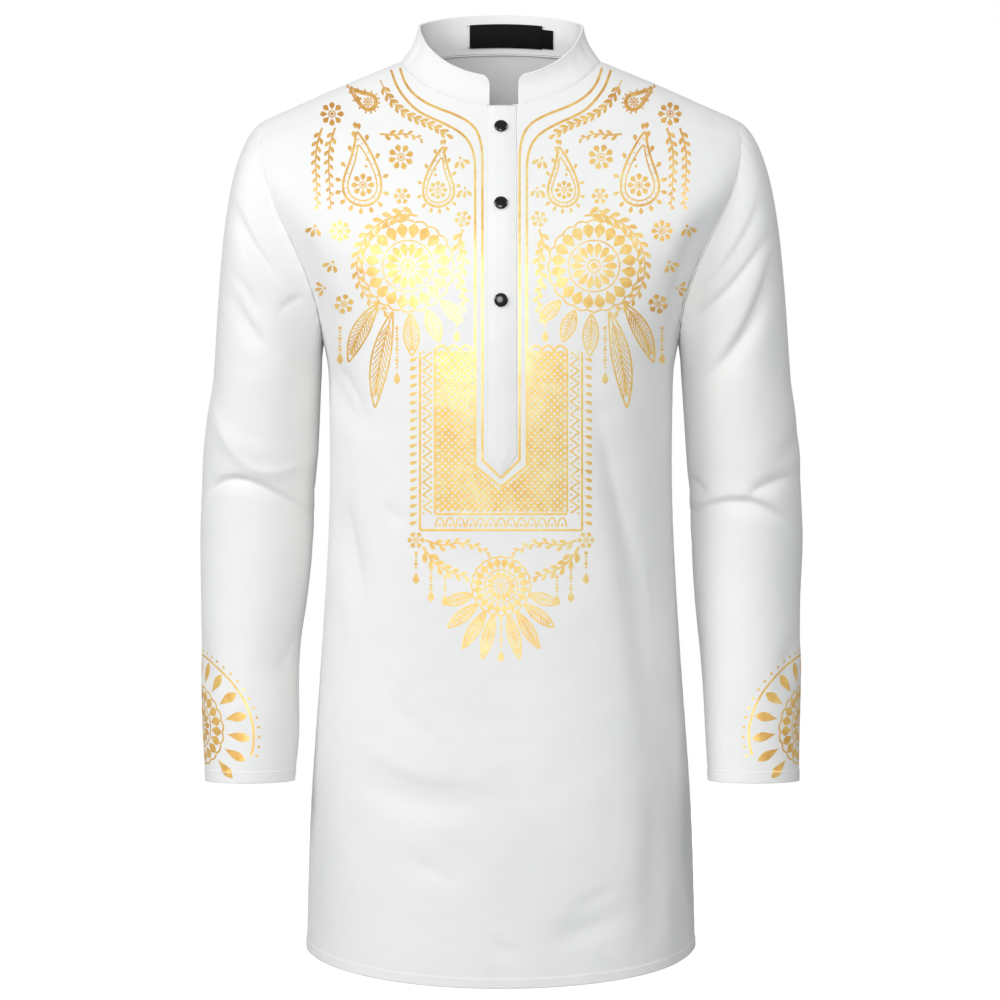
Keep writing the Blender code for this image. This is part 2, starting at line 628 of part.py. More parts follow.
def main():
    for old in list(bpy.data.objects):
        bpy.data.objects.remove(old)
    bpy.context.scene.unit_settings.scale_length = 1
    names = ("front_cloth", "back_cloth", "sleeve_cloth", "collar_cloth", "placket_cloth")
    cloth = {name: material_of(name, WHITE, 0.7) for name in names}
    button = material_of("button_gloss", BLACK, 0.15)
    woven = material_of("label_woven", BLACK, 0.8)
    add_front(cloth["front_cloth"])
    add_back(cloth["back_cloth"])
    for side in ("left", "right"):
        add_sleeve(side, cloth["sleeve_cloth"])
    add_collar(cloth["collar_cloth"])
    t = trunk_levels()
    add_strips(cloth["placket_cloth"], t[slot_end_row(t)])
    add_buttons(button)
    add_label("neck_label", LABEL_FROM_X, LABEL_TO_X, LABEL_LOW, LABEL_HIGH, 9, woven)
    add_label("size_tab", TAB_FROM_X, TAB_TO_X, TAB_LOW, TAB_HIGH, 3, woven)


main()
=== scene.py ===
"""Long-sleeve tunic shirt, dressed: fine cloth, sewing, foil print, buttons and label.

Metres, +Z up. The front faces -Y and the wearer's left is +X. The origin is in the middle of the
neck opening. The cloth follows the same tables as the solids, on a finer grid and with creases.
"""

from __future__ import annotations

import logging
import math
from dataclasses import dataclass, field
from enum import Enum
from typing import Any, Callable, Sequence

import bpy
import numpy as np
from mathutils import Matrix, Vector
from mathutils.bvhtree import BVHTree

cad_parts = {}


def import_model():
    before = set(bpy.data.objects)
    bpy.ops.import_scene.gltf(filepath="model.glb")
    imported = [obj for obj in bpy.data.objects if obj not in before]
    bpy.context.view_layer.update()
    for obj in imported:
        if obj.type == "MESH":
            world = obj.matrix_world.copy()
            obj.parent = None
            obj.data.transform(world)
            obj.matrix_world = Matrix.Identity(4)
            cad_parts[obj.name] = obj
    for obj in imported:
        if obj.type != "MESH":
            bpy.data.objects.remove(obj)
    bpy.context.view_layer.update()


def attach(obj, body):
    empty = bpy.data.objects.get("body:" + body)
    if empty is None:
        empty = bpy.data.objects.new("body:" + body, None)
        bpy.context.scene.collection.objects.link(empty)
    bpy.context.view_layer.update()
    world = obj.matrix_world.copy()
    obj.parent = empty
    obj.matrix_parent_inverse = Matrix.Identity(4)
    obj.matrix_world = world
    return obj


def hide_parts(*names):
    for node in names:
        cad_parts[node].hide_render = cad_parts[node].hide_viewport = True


LOG = logging.getLogger("shirt")
BODY = "root"
Array = np.ndarray
Table = Sequence[Sequence[float]]
Flat = Sequence[tuple[float, float]]

# Sizes shared with the solids
SEAM_GAP = 0.0004
SLEEVE_GAP = 0.0005
PLACKET_HALF_WIDTH = 0.0142
PLACKET_SQUARE_END_Z = -0.3690
PLACKET_TIP_Z = -0.3880
PLACKET_WALL = 0.0012
SLOT_HALF_WIDTH = 0.0105
SLOT_END_Z = -0.3550
STRIP_TOP_T = 0.9985
BUTTON_Z = {"button_top": -0.0680, "button_middle": -0.1415, "button_bottom": -0.2300}
BUTTON_RADIUS = 0.0062
BUTTONHOLE_HALF_WIDTH = 0.0016
BUTTONHOLE_HALF_HEIGHT = 0.0048

COLLAR_TOP = {
    "half_width": 0.0768,
    "side_y": 0.0030,
    "side_z": 0.0360,
    "front_y": -0.0450,
    "front_z": -0.0185,
    "back_y": 0.0455,
    "back_z": 0.0515,
}
COLLAR_WALL = 0.0022
COLLAR_DIP_POWER = 1.15
COLLAR_HOLLOW = -0.0030
COLLAR_END_RIGHT_X = -0.0105
COLLAR_END_LEFT_X = 0.0160
COLLAR_CORNER = 0.0075
COLLAR_END_SHARE = 0.70
LABEL_GAP = 0.0007
LABEL_FROM_X, LABEL_TO_X = -0.0304, 0.0400
LABEL_SPANS = {
    "neck_label": (LABEL_FROM_X, LABEL_TO_X, 0.17, 0.75, 49, 0.0262),
    "size_tab": (0.0402, 0.0507, 0.19, 0.66, 13, 0.0217),
}
LABEL_ROWS = 17

# The dressed cloth's own wall and how softly a turned hem steps
CLOTH_WALL = 0.0011
HEM_STEP = 0.0005
HEM_SOFT = 0.0007

# Foil print: one step of its drawing in metres and the step that is at height 0, then the most
# steps between points along curves, along straight legs and across a patch, and its plates
PRINT_STEP = 0.000935
PRINT_TOP = 63.0
LINE_STEP = 1.8
LEG_STEP = 2.5
CELL_STEP = 2.6
FOIL_LIFT = 0.00010
FOIL_LAYER = 0.000012
FOIL_LAYERS = 7
FOIL_SINK = 0.0002

SIDE_COLUMNS = ("t", "half_width", "side_y", "side_z", "full")
SIDE_ROWS = (
    (0.00, 0.1815, 0.004, -0.824, 0.26),
    (0.14, 0.1780, 0.004, -0.706, 0.28),
    (0.28, 0.1705, 0.004, -0.592, 0.30),
    (0.42, 0.1630, 0.003, -0.478, 0.32),
    (0.57, 0.1595, 0.002, -0.366, 0.36),
    (0.65, 0.1605, 0.002, -0.304, 0.36),
    (0.70, 0.1660, 0.002, -0.262, 0.31),
    (0.74, 0.1860, 0.002, -0.203, 0.21),
    (0.78, 0.2160, 0.002, -0.137, 0.10),
    (0.82, 0.2360, 0.002, -0.083, 0.03),
    (0.86, 0.2225, 0.002, -0.0545, 0.00),
    (0.88, 0.2041, 0.0023, -0.0458, 0.00),
    (0.93, 0.1580, 0.003, -0.0252, 0.00),
    (1.00, 0.0935, 0.004, 0.0020, 0.00),
)
CENTRE_COLUMNS = ("t", "front_y", "front_z", "back_y", "back_z")
CENTRE_ROWS = (
    (0.00, -0.127, -0.845, 0.137, -0.848),
    (0.14, -0.122, -0.716, 0.135, -0.716),
    (0.28, -0.116, -0.596, 0.128, -0.594),
    (0.42, -0.113, -0.480, 0.113, -0.478),
    (0.57, -0.118, -0.376, 0.110, -0.370),
    (0.70, -0.123, -0.294, 0.118, -0.284),
    (0.78, -0.122, -0.240, 0.122, -0.222),
    (0.86, -0.111, -0.176, 0.115, -0.142),
    (0.93, -0.083, -0.108, 0.089, -0.058),
    (1.00, -0.050, -0.0456, 0.050, 0.0155),
)
DIP_POWER = 1.5
ARMHOLE_LOW_T, ARMHOLE_HIGH_T = 0.70, 0.86
ARMHOLE_MIDDLE = (ARMHOLE_LOW_T + ARMHOLE_HIGH_T) / 2
ARMHOLE_HALF = (ARMHOLE_HIGH_T - ARMHOLE_LOW_T) / 2
ARMHOLE_DEPTH = {False: 0.058, True: 0.060}

CAP_END_S = 0.20
ARM_COLUMNS = ("s", "x", "y", "z", "half_width", "half_depth")
ARM_ROWS = {
    "left": (
        (0.20, 0.2205, 0.008, -0.298, 0.0510, 0.0630),
        (0.32, 0.2268, 0.012, -0.358, 0.0532, 0.0610),
        (0.40, 0.2290, 0.014, -0.400, 0.0524, 0.0600),
        (0.46, 0.2306, 0.013, -0.432, 0.0524, 0.0590),
        (0.60, 0.2308, 0.004, -0.504, 0.0490, 0.0550),
        (0.72, 0.2330, -0.008, -0.560, 0.0464, 0.0500),
        (0.86, 0.2331, -0.022, -0.622, 0.0436, 0.0430),
        (1.00, 0.2333, -0.034, -0.667, 0.0418, 0.0370),
    ),
    "right": (
        (0.20, 0.2190, 0.008, -0.298, 0.0505, 0.0630),
        (0.32, 0.2250, 0.012, -0.358, 0.0535, 0.0610),
        (0.40, 0.2278, 0.014, -0.400, 0.0530, 0.0600),
        (0.46, 0.2288, 0.013, -0.432, 0.0530, 0.0590),
        (0.60, 0.2312, 0.004, -0.504, 0.0492, 0.0550),
        (0.72, 0.2335, -0.008, -0.560, 0.0456, 0.0500),
        (0.86, 0.2318, -0.022, -0.622, 0.0446, 0.0430),
        (1.00, 0.2316, -0.034, -0.667, 0.0409, 0.0370),
    ),
}
CAP_LEAVES = {
    "top": (0.48, 0.00, -0.30),
    "front": (0.62, -0.16, -0.42),
    "under": (0.12, 0.00, -0.90),
    "back": (0.60, 0.16, -0.42),
}
CAP_ARRIVES = (0.08, 0.0, -1.0)

# Folds near to those of the solids, then the finer creases. Each is a curve in the front view,
# from a start through a bend to an end, with its spread, its rise (a trough is negative) and its
# tilt, which lifts the cloth on the left of the way it runs and lowers it on the right.
CREASE_SHARPNESS = 1.15
FOLD_STOPS = 13
FOLD_ENDS = (0.08, 0.84)
TILT_GAIN = 1.6
# Small steps of angle and level, to find a surface's normals
ANGLE_STEP, LEVEL_STEP = 2e-3, 1e-3
# Levels over which a place on the front is looked up by its height
LOOKUP_FROM_T, LOOKUP_LEVELS = 0.3, 1401
FRONT_FOLDS = (
    (0.200, -0.140, 0.158, -0.190, 0.157, -0.285, 0.014, -0.0042, 0.0),
    (0.095, -0.330, 0.125, -0.460, 0.140, -0.640, 0.014, -0.0055, 0.0),
    (0.140, -0.650, 0.142, -0.730, 0.136, -0.815, 0.014, -0.0040, 0.0),
    (-0.160, -0.280, -0.145, -0.320, -0.125, -0.345, 0.011, -0.0040, 0.0),
    (-0.150, -0.410, -0.140, -0.450, -0.128, -0.515, 0.011, -0.0035, 0.0),
    (-0.125, -0.655, -0.085, -0.690, -0.020, -0.680, 0.013, -0.0035, 0.0),
    (0.110, -0.775, 0.075, -0.800, 0.045, -0.800, 0.011, -0.0025, 0.0),
    (-0.196, -0.150, -0.160, -0.200, -0.158, -0.270, 0.010, -0.0030, 0.0),
)
FRONT_CREASES = (
    (0.194, -0.148, 0.156, -0.170, 0.154, -0.290, 0.0110, -0.0010, -0.0021),
    (0.089, -0.330, 0.107, -0.409, 0.129, -0.475, 0.0068, -0.0019, 0.0020),
    (-0.154, -0.283, -0.133, -0.309, -0.122, -0.339, 0.0051, -0.0022, -0.0014),
    (-0.143, -0.406, -0.137, -0.449, -0.126, -0.495, 0.0051, -0.0019, -0.0010),
    (-0.106, -0.413, -0.097, -0.421, -0.088, -0.430, 0.0051, -0.0019, 0.0),
    (-0.120, -0.640, -0.079, -0.671, -0.022, -0.667, 0.0068, -0.0015, 0.0010),
    (-0.101, -0.586, -0.080, -0.607, -0.058, -0.625, 0.0085, -0.0019, 0.0),
    (-0.086, -0.729, -0.064, -0.738, -0.041, -0.752, 0.0076, -0.0019, 0.0),
    (0.104, -0.754, 0.082, -0.770, 0.062, -0.779, 0.0059, -0.0015, 0.0),
    (0.140, -0.520, 0.156, -0.700, 0.158, -0.870, 0.0240, 0.0, -0.0030),
    (-0.005, -0.799, 0.000, -0.811, 0.013, -0.813, 0.0051, -0.0019, 0.0008),
)
BACK_FOLDS = (
    (0.185, -0.140, 0.145, -0.200, 0.135, -0.300, 0.013, -0.0050, 0.0),
    (-0.188, -0.145, -0.150, -0.205, -0.142, -0.295, 0.012, -0.0045, 0.0),
    (0.060, -0.360, 0.085, -0.500, 0.100, -0.700, 0.016, -0.0060, 0.0),
    (-0.070, -0.380, -0.090, -0.520, -0.085, -0.720, 0.015, -0.0055, 0.0),
    (0.010, -0.420, 0.005, -0.560, 0.020, -0.760, 0.015, -0.0035, 0.0),
)
BACK_CREASES = (
    (0.178, -0.150, 0.140, -0.210, 0.130, -0.290, 0.0063, -0.0022, -0.0017),
    (-0.180, -0.150, -0.145, -0.205, -0.138, -0.280, 0.0063, -0.0022, 0.0017),
    (0.120, -0.320, 0.060, -0.350, -0.010, -0.345, 0.0081, -0.0026, 0.0),
    (-0.130, -0.400, -0.060, -0.430, 0.020, -0.425, 0.0081, -0.0022, 0.0010),
    (0.130, -0.560, 0.110, -0.660, 0.125, -0.780, 0.0090, -0.0022, 0.0),
)
SLEEVE_FOLDS = {
    "left": (
        (0.181, -0.243, 0.215, -0.190, 0.247, -0.165, 0.0080, -0.0021, 0.0),
        (0.190, -0.295, 0.235, -0.260, 0.252, -0.195, 0.0090, -0.0024, 0.0),
        (0.179, -0.420, 0.215, -0.400, 0.272, -0.432, 0.0080, -0.0027, 0.0),
        (0.232, -0.405, 0.250, -0.390, 0.275, -0.386, 0.0070, -0.0021, 0.0),
        (0.281, -0.330, 0.275, -0.360, 0.255, -0.372, 0.0080, -0.0021, 0.0),
        (0.280, -0.530, 0.262, -0.550, 0.256, -0.590, 0.0080, -0.0018, 0.0),
    ),
    "right": (
        (-0.246, -0.138, -0.228, -0.180, -0.206, -0.202, 0.0080, -0.0024, 0.0),
        (-0.250, -0.215, -0.235, -0.260, -0.215, -0.268, 0.0090, -0.0021, 0.0),
        (-0.276, -0.400, -0.240, -0.370, -0.182, -0.418, 0.0080, -0.0030, 0.0),
        (-0.270, -0.330, -0.245, -0.375, -0.180, -0.362, 0.0100, 0.0018, 0.0),
        (-0.278, -0.530, -0.272, -0.550, -0.267, -0.580, 0.0080, -0.0015, 0.0),
    ),
}
SLEEVE_CREASES = {
    "left": (
        (0.175, -0.241, 0.211, -0.217, 0.242, -0.170, 0.0043, -0.0028, 0.0024),
        (0.187, -0.294, 0.231, -0.258, 0.247, -0.190, 0.0051, -0.0033, 0.0024),
        (0.180, -0.218, 0.230, -0.168, 0.237, -0.126, 0.0043, -0.0033, 0.0022),
        (0.193, -0.158, 0.213, -0.145, 0.221, -0.131, 0.0039, -0.0025, 0.0),
        (0.176, -0.418, 0.231, -0.394, 0.265, -0.428, 0.0035, -0.0036, 0.0040),
        (0.229, -0.405, 0.235, -0.394, 0.269, -0.387, 0.0039, -0.0025, 0.0),
        (0.173, -0.386, 0.183, -0.391, 0.190, -0.404, 0.0039, -0.0025, 0.0),
    ),
    "right": (
        (-0.242, -0.141, -0.227, -0.177, -0.203, -0.204, 0.0035, -0.0033, 0.0031),
        (-0.246, -0.200, -0.228, -0.224, -0.219, -0.242, 0.0051, -0.0028, 0.0),
        (-0.243, -0.225, -0.232, -0.250, -0.214, -0.267, 0.0051, -0.0025, 0.0015),
        (-0.202, -0.234, -0.186, -0.217, -0.175, -0.223, 0.0035, -0.0033, 0.0013),
        (-0.265, -0.326, -0.233, -0.418, -0.170, -0.363, 0.0066, 0.0033, 0.0),
        (-0.271, -0.401, -0.252, -0.369, -0.178, -0.418, 0.0035, -0.0039, 0.0040),
        (-0.184, -0.519, -0.193, -0.551, -0.203, -0.564, 0.0062, -0.0025, 0.0),
    ),
}
SLEEVE_BACK_FOLDS = (
    (0.185, -0.250, 0.220, -0.200, 0.250, -0.180, 0.0100, -0.0028, 0.0),
    (0.180, -0.400, 0.225, -0.385, 0.275, -0.420, 0.0090, -0.0024, 0.0),
    (0.182, -0.450, 0.225, -0.440, 0.268, -0.465, 0.0090, -0.0021, 0.0),
)
SLEEVE_BACK_CREASES = (
    (0.182, -0.225, 0.222, -0.190, 0.246, -0.150, 0.0060, -0.0024, 0.0020),
    (0.178, -0.395, 0.226, -0.372, 0.272, -0.408, 0.0050, -0.0031, 0.0031),
    (0.186, -0.330, 0.220, -0.322, 0.252, -0.300, 0.0070, -0.0024, 0.0),
)


class Side(Enum):
    """Which of a pair: the value is its way along X."""

    LEFT = 1
    RIGHT = -1

    @property
    def word(self) -> str:
        """The side's word in node names."""
        return self.name.lower()


def unit(vectors: Array) -> Array:
    """The vectors at length one."""
    return vectors / np.maximum(np.linalg.norm(vectors, axis=-1, keepdims=True), 1e-12)


def smooth(value: Array, low: float, high: float) -> Array:
    """A soft step from 0 at low to 1 at high."""
    u = np.clip((value - low) / (high - low), 0, 1)
    return u * u * (3 - 2 * u)


def cubic(u: Array, length: Array, start: Array, leaves: Array, end: Array, arrives: Array) -> Array:
    """A curve from start to end at shares u of its length, with the ways it leaves and arrives."""
    return (
        (1 + 2 * u) * (1 - u) ** 2 * start
        + u * (1 - u) ** 2 * length * leaves
        + u * u * (3 - 2 * u) * end
        + u * u * (u - 1) * length * arrives
    )


def smooth_table(rows: Table, columns: Sequence[str]) -> Callable[[Array], dict[str, Array]]:
    """Reads a table of sizes as smooth curves.

    Args:
        rows: The table, its first column rising.
        columns: The columns' names.

    Returns:
        A function from the first column's value to the others by name.
    """
    data = np.array(rows, float)
    at, values = data[:, 0], data[:, 1:]
    step = np.diff(at)
    slope = np.diff(values, axis=0) / step[:, None]
    balance = np.eye(len(at))
    wanted = np.vstack([slope[:1], np.zeros((len(at) - 2, values.shape[1])), slope[-1:]])
    for i in range(1, len(at) - 1):
        balance[i, i - 1 : i + 2] = step[i], 2 * (step[i - 1] + step[i]), step[i - 1]
        wanted[i] = 3 * (step[i] * slope[i - 1] + step[i - 1] * slope[i])
    tangent = np.linalg.solve(balance, wanted)

    def values_at(level: Array) -> dict[str, Array]:
        """The named values at a level."""
        level = np.clip(np.asarray(level, float), at[0], at[-1])
        i = np.clip(np.searchsorted(at, level, side="right") - 1, 0, len(at) - 2)
        h = (at[i + 1] - at[i])[..., None]
        u = (level - at[i])[..., None] / h
        found = cubic(u, h, values[i], tangent[i], values[i + 1], tangent[i + 1])
        return dict(zip(columns[1:], np.moveaxis(found, -1, 0)))

    return values_at


def fold_rise(points: Array, folds: Table, sharpness: float = 2.0) -> Array:
    """How far the folds lift each point, from its place in the front view.

    Args:
        points: The points.
        folds: The folds' rows.
        sharpness: 2 for round folds; less gives a crisper line.

    Returns:
        The rise of each point.
    """
    x, z = points[..., 0], points[..., 2]
    total = np.zeros_like(x)
    along = np.linspace(0, 1, FOLD_STOPS)
    for x0, z0, x1, z1, x2, z2, spread, rise, tilt in folds:
        curve = np.outer((1 - along) ** 2, (x0, z0)) + np.outer(along**2, (x2, z2))
        curve += np.outer(2 * along * (1 - along), (x1, z1))
        nearest, place, side = np.full_like(x, 9.0), np.zeros_like(x), np.ones_like(x)
        for i in range(len(along) - 1):
            (ax, az), (bx, bz) = curve[i], curve[i + 1]
            dx, dz = bx - ax, bz - az
            u = np.clip(((x - ax) * dx + (z - az) * dz) / (dx * dx + dz * dz), 0, 1)
            away = np.hypot(x - ax - u * dx, z - az - u * dz)
            closer = away < nearest
            place = np.where(closer, along[i] + u * (along[i + 1] - along[i]), place)
            side = np.where(closer, np.sign(dx * (z - az) - dz * (x - ax)), side)
            nearest = np.minimum(away, nearest)
        r = nearest / spread
        fade = np.exp(-(r**sharpness)) * np.sin(math.pi * (FOLD_ENDS[0] + FOLD_ENDS[1] * place))
        total += (rise + TILT_GAIN * tilt * side * r) * fade
    return total


class ShirtForm:
    """The shirt's outer form, the same as the solids'."""

    def __init__(self) -> None:
        """Reads the tables."""
        self.side = smooth_table(SIDE_ROWS, SIDE_COLUMNS)
        self.centre = smooth_table(CENTRE_ROWS, CENTRE_COLUMNS)
        self.arm = {side: smooth_table(rows, ARM_COLUMNS) for side, rows in ARM_ROWS.items()}

    @staticmethod
    def edge_angle(reach: Array, full: Array, stands_off: Array) -> Array:
        """The angle at which a ring is as far before or behind the side line as stands_off."""
        ahead = stands_off / reach
        for _ in range(12):
            ahead = stands_off / (reach * (1 + full * (1 - ahead**2)))
        return np.arccos(np.clip(ahead, 0, 1))

    def off_side(self, t: Array, back: bool, stands_off: Array) -> Array:
        """The angle at which a panel is stands_off from its side line."""
        side, centre = self.side(t), self.centre(t)
        reach = np.abs(centre["back_y" if back else "front_y"] - side["side_y"])
        return self.edge_angle(reach, side["full"], stands_off)

    def panel_edge(self, t: Array, back: bool, gap: float) -> Array:
        """The angle, from the panel's own centre line, of its edge at a level."""
        opening = np.sqrt(np.clip(1 - ((t - ARMHOLE_MIDDLE) / ARMHOLE_HALF) ** 2, 0, 1))
        return self.off_side(t, back, gap + ARMHOLE_DEPTH[back] * opening)

    def trunk_plain(self, angle: Array, t: Array, back: bool = False) -> Array:
        """The trunk without folds: angle is 0 on the panel's centre line, positive towards +X."""
        side, centre = self.side(t), self.centre(t)
        name, way = ("back", 1) if back else ("front", -1)
        across, ahead = np.sin(angle), np.cos(angle)
        reach = np.abs(centre[name + "_y"] - side["side_y"])
        x = side["half_width"] * across
        y = side["side_y"] + way * reach * ahead * (1 + side["full"] * across**2)
        dip = np.sign(ahead) * np.abs(ahead) ** DIP_POWER
        z = side["side_z"] + (centre[name + "_z"] - side["side_z"]) * dip
        return np.stack(np.broadcast_arrays(x, y, z), axis=-1)

    @staticmethod
    def normals_of(surface: Callable[[Array, Array], Array], u: Array, v: Array, outward: float) -> Array:
        """Normals by small steps over a surface, turned to the side that outward gives."""
        du = surface(u + ANGLE_STEP, v) - surface(u - ANGLE_STEP, v)
        dv = surface(u, v + LEVEL_STEP) - surface(u, v - LEVEL_STEP)
        return unit(np.cross(du, dv)) * outward

    def trunk(
        self, angle: Array, t: Array, back: bool = False, creases: bool = False
    ) -> tuple[Array, Array]:
        """The trunk's outer face with its folds.

        Args:
            angle: Round the panel, 0 on its centre line.
            t: Level, 0 at the hem and 1 at the neck seam.
            back: The back panel rather than the front one.
            creases: With the finer creases too.

        Returns:
            Points and normals.
        """
        way = -1 if back else 1
        folds = BACK_FOLDS if back else FRONT_FOLDS
        fine = (BACK_CREASES if back else FRONT_CREASES) if creases else ()

        def folded(angle: Array, t: Array) -> Array:
            """The form moved out or in by its folds."""
            plain = self.trunk_plain(angle, t, back)
            normal = self.normals_of(lambda a, b: self.trunk_plain(a, b, back), angle, t, way)
            rise = fold_rise(plain, folds) + fold_rise(plain, fine, CREASE_SHARPNESS)
            rise = rise * smooth(np.abs(np.cos(angle)), 0.0, 0.25)
            return plain + normal * rise[..., None]

        return folded(angle, t), self.normals_of(folded, angle, t, way)

    def armhole(self, turn: Array, way: int) -> tuple[Array, Array, Array]:
        """Points, normals and the way off the panel round an armhole, mirrored to +X."""
        t = ARMHOLE_MIDDLE + ARMHOLE_HALF * np.cos(turn)

        def edge(back: bool) -> tuple[Array, Array]:
            """The armhole's edge on one panel."""
            angle = self.off_side(t, back, ARMHOLE_DEPTH[back] * np.abs(np.sin(turn)))
            return self.trunk(way * angle, t, back)

        in_front = (np.sin(turn) >= 0)[..., None]
        (front, front_normal), (behind, behind_normal) = edge(False), edge(True)
        points = np.where(in_front, front, behind) * (way, 1, 1)
        normal = np.where(in_front, front_normal, behind_normal) * (way, 1, 1)
        ahead = np.roll(points, -1, axis=0) - np.roll(points, 1, axis=0)
        off = unit(np.cross(unit(ahead), normal))
        return points, normal, np.where((off[..., 0] < 0)[..., None], -off, off)

    def sleeve(self, side: Side, turn: Array, s: Array) -> tuple[Array, Array]:
        """A sleeve's outer points and the ways of its wall.

        Args:
            side: The wearer's side.
            turn: Angles round it, 0 on the outer line and 90 degrees in front.
            s: Levels, 0 at the armhole and 1 at the cuff.

        Returns:
            Points and normals, a row for each level.
        """
        way = side.value
        hole, hole_normal, off = self.armhole(turn, way)
        across, ahead = np.cos(turn), np.sin(turn)
        share = {
            "top": np.clip(across, 0, 1) ** 2,
            "under": np.clip(-across, 0, 1) ** 2,
            "front": np.clip(ahead, 0, 1) ** 2,
            "back": np.clip(-ahead, 0, 1) ** 2,
        }
        leaves = sum(share[k][:, None] * np.array(CAP_LEAVES[k]) for k in CAP_LEAVES)
        fold = np.arctan2(np.sum(leaves * hole_normal, axis=-1), np.sum(leaves * off, axis=-1))
        half_fold = np.clip(fold, 0, math.pi)[:, None] / 2
        start = hole + (off * np.cos(half_fold) + hole_normal * np.sin(half_fold)) * SLEEVE_GAP
        ring = {k: v[:, None] for k, v in self.arm[side.word](np.maximum(s, CAP_END_S)).items()}
        x, y = ring["x"] + ring["half_width"] * across, ring["y"] - ring["half_depth"] * ahead
        arm = np.stack([x, y, ring["z"] + 0 * across], axis=-1)
        length = np.linalg.norm(arm[0] - start, axis=-1, keepdims=True)
        u = np.clip(s / CAP_END_S, 0, 1)[:, None, None]
        cap = cubic(u, length, start, leaves, arm, np.array(CAP_ARRIVES))
        plain = np.where(u < 1, cap, arm) * (way, 1, 1)
        normal = grid_normals(plain, True) * way
        faces_front = smooth(-normal[..., 1], -0.35, 0.35)
        mirror = np.array([way, 1, way, 1, way, 1, 1, 1, way])
        before = fold_rise(plain, SLEEVE_FOLDS[side.word])
        before += fold_rise(plain, SLEEVE_CREASES[side.word], CREASE_SHARPNESS)
        behind = fold_rise(plain, np.array(SLEEVE_BACK_FOLDS) * mirror)
        behind += fold_rise(plain, np.array(SLEEVE_BACK_CREASES) * mirror, CREASE_SHARPNESS)
        rise = before * faces_front + behind * (1 - faces_front)
        points = plain + normal * (rise * smooth(s, 0, CAP_END_S / 2)[:, None])[..., None]
        normal = grid_normals(points, True) * way
        seam = hole_normal * (way, 1, 1)
        along = smooth(np.sum(normal[0] * seam, axis=-1), 0.1, 0.8)[:, None]
        normal[0] = unit(normal[0] * (1 - along) + seam * along)
        return points, normal

    def collar_plain(self, angle: Array, up: Array) -> Array:
        """The collar's outer face: angle is 0 in front, 180 degrees at the back; up is 0 at its seam."""
        back = np.cos(angle) < 0
        own = np.where(back, math.pi - angle, angle)
        seam, lower = (
            np.where(back[..., None], self.trunk_plain(own, t, True), self.trunk_plain(own, t))
            for t in (np.ones_like(angle), np.ones_like(angle) - 0.01)
        )
        seam = seam + unit(seam - lower) * SEAM_GAP
        across, ahead = np.sin(angle), np.cos(angle)
        top = COLLAR_TOP
        y_reach = np.where(back, top["back_y"], top["front_y"]) - top["side_y"]
        z_reach = np.where(back, top["back_z"], top["front_z"]) - top["side_z"]
        y = top["side_y"] + y_reach * np.abs(ahead)
        z = top["side_z"] + z_reach * np.abs(ahead) ** COLLAR_DIP_POWER
        rim = np.stack([top["half_width"] * across, y, z], axis=-1)
        out = np.stack([across, -ahead, 0 * across], axis=-1)
        hollow = COLLAR_HOLLOW * np.sin(math.pi * np.clip(up, 0, 1))
        return seam + (rim - seam) * up[..., None] + out * hollow[..., None]

    def collar(self, angle: Array, up: Array) -> tuple[Array, Array]:
        """The collar's outer points and normals."""
        return self.collar_plain(angle, up), self.normals_of(self.collar_plain, angle, up, 1)

    def collar_angle(self, x: Array | float, up: Array) -> Array:
        """The angle, from the collar's front or back line, at which it is x from the centre line."""
        seam_half_width = float(self.side(np.array(1.0))["half_width"])
        half_width = seam_half_width + (COLLAR_TOP["half_width"] - seam_half_width) * up
        return np.arcsin(x / (half_width + COLLAR_HOLLOW * np.sin(math.pi * up)))

    def front_at(self, x: Array, z: Array, lift: float) -> tuple[Array, Array]:
        """Points over the front panel, by their x and by the z of the centre line, and its normals."""
        levels = np.linspace(LOOKUP_FROM_T, 1, LOOKUP_LEVELS)
        t = np.interp(z, self.centre(levels)["front_z"], levels)
        angle = np.arcsin(np.clip(x / self.side(t)["half_width"], -1, 1))
        points, normal = self.trunk(angle, t)
        return points + normal * lift, normal


def grid_normals(grid: Array, closed: bool) -> Array:
    """Normals of a grid of points, a row for each ring."""
    if closed:
        across = np.roll(grid, -1, axis=1) - np.roll(grid, 1, axis=1)
    else:
        across = np.gradient(grid, axis=1)
    return unit(np.cross(across, np.gradient(grid, axis=0)))


def run_lengths(grid: Array, axis: int) -> Array:
    """The length run along the grid from its first row or column."""
    step = np.linalg.norm(np.diff(grid, axis=axis), axis=-1)
    start = np.zeros_like(np.take(step, [0], axis=axis))
    return np.concatenate([start, np.cumsum(step, axis=axis)], axis=axis)


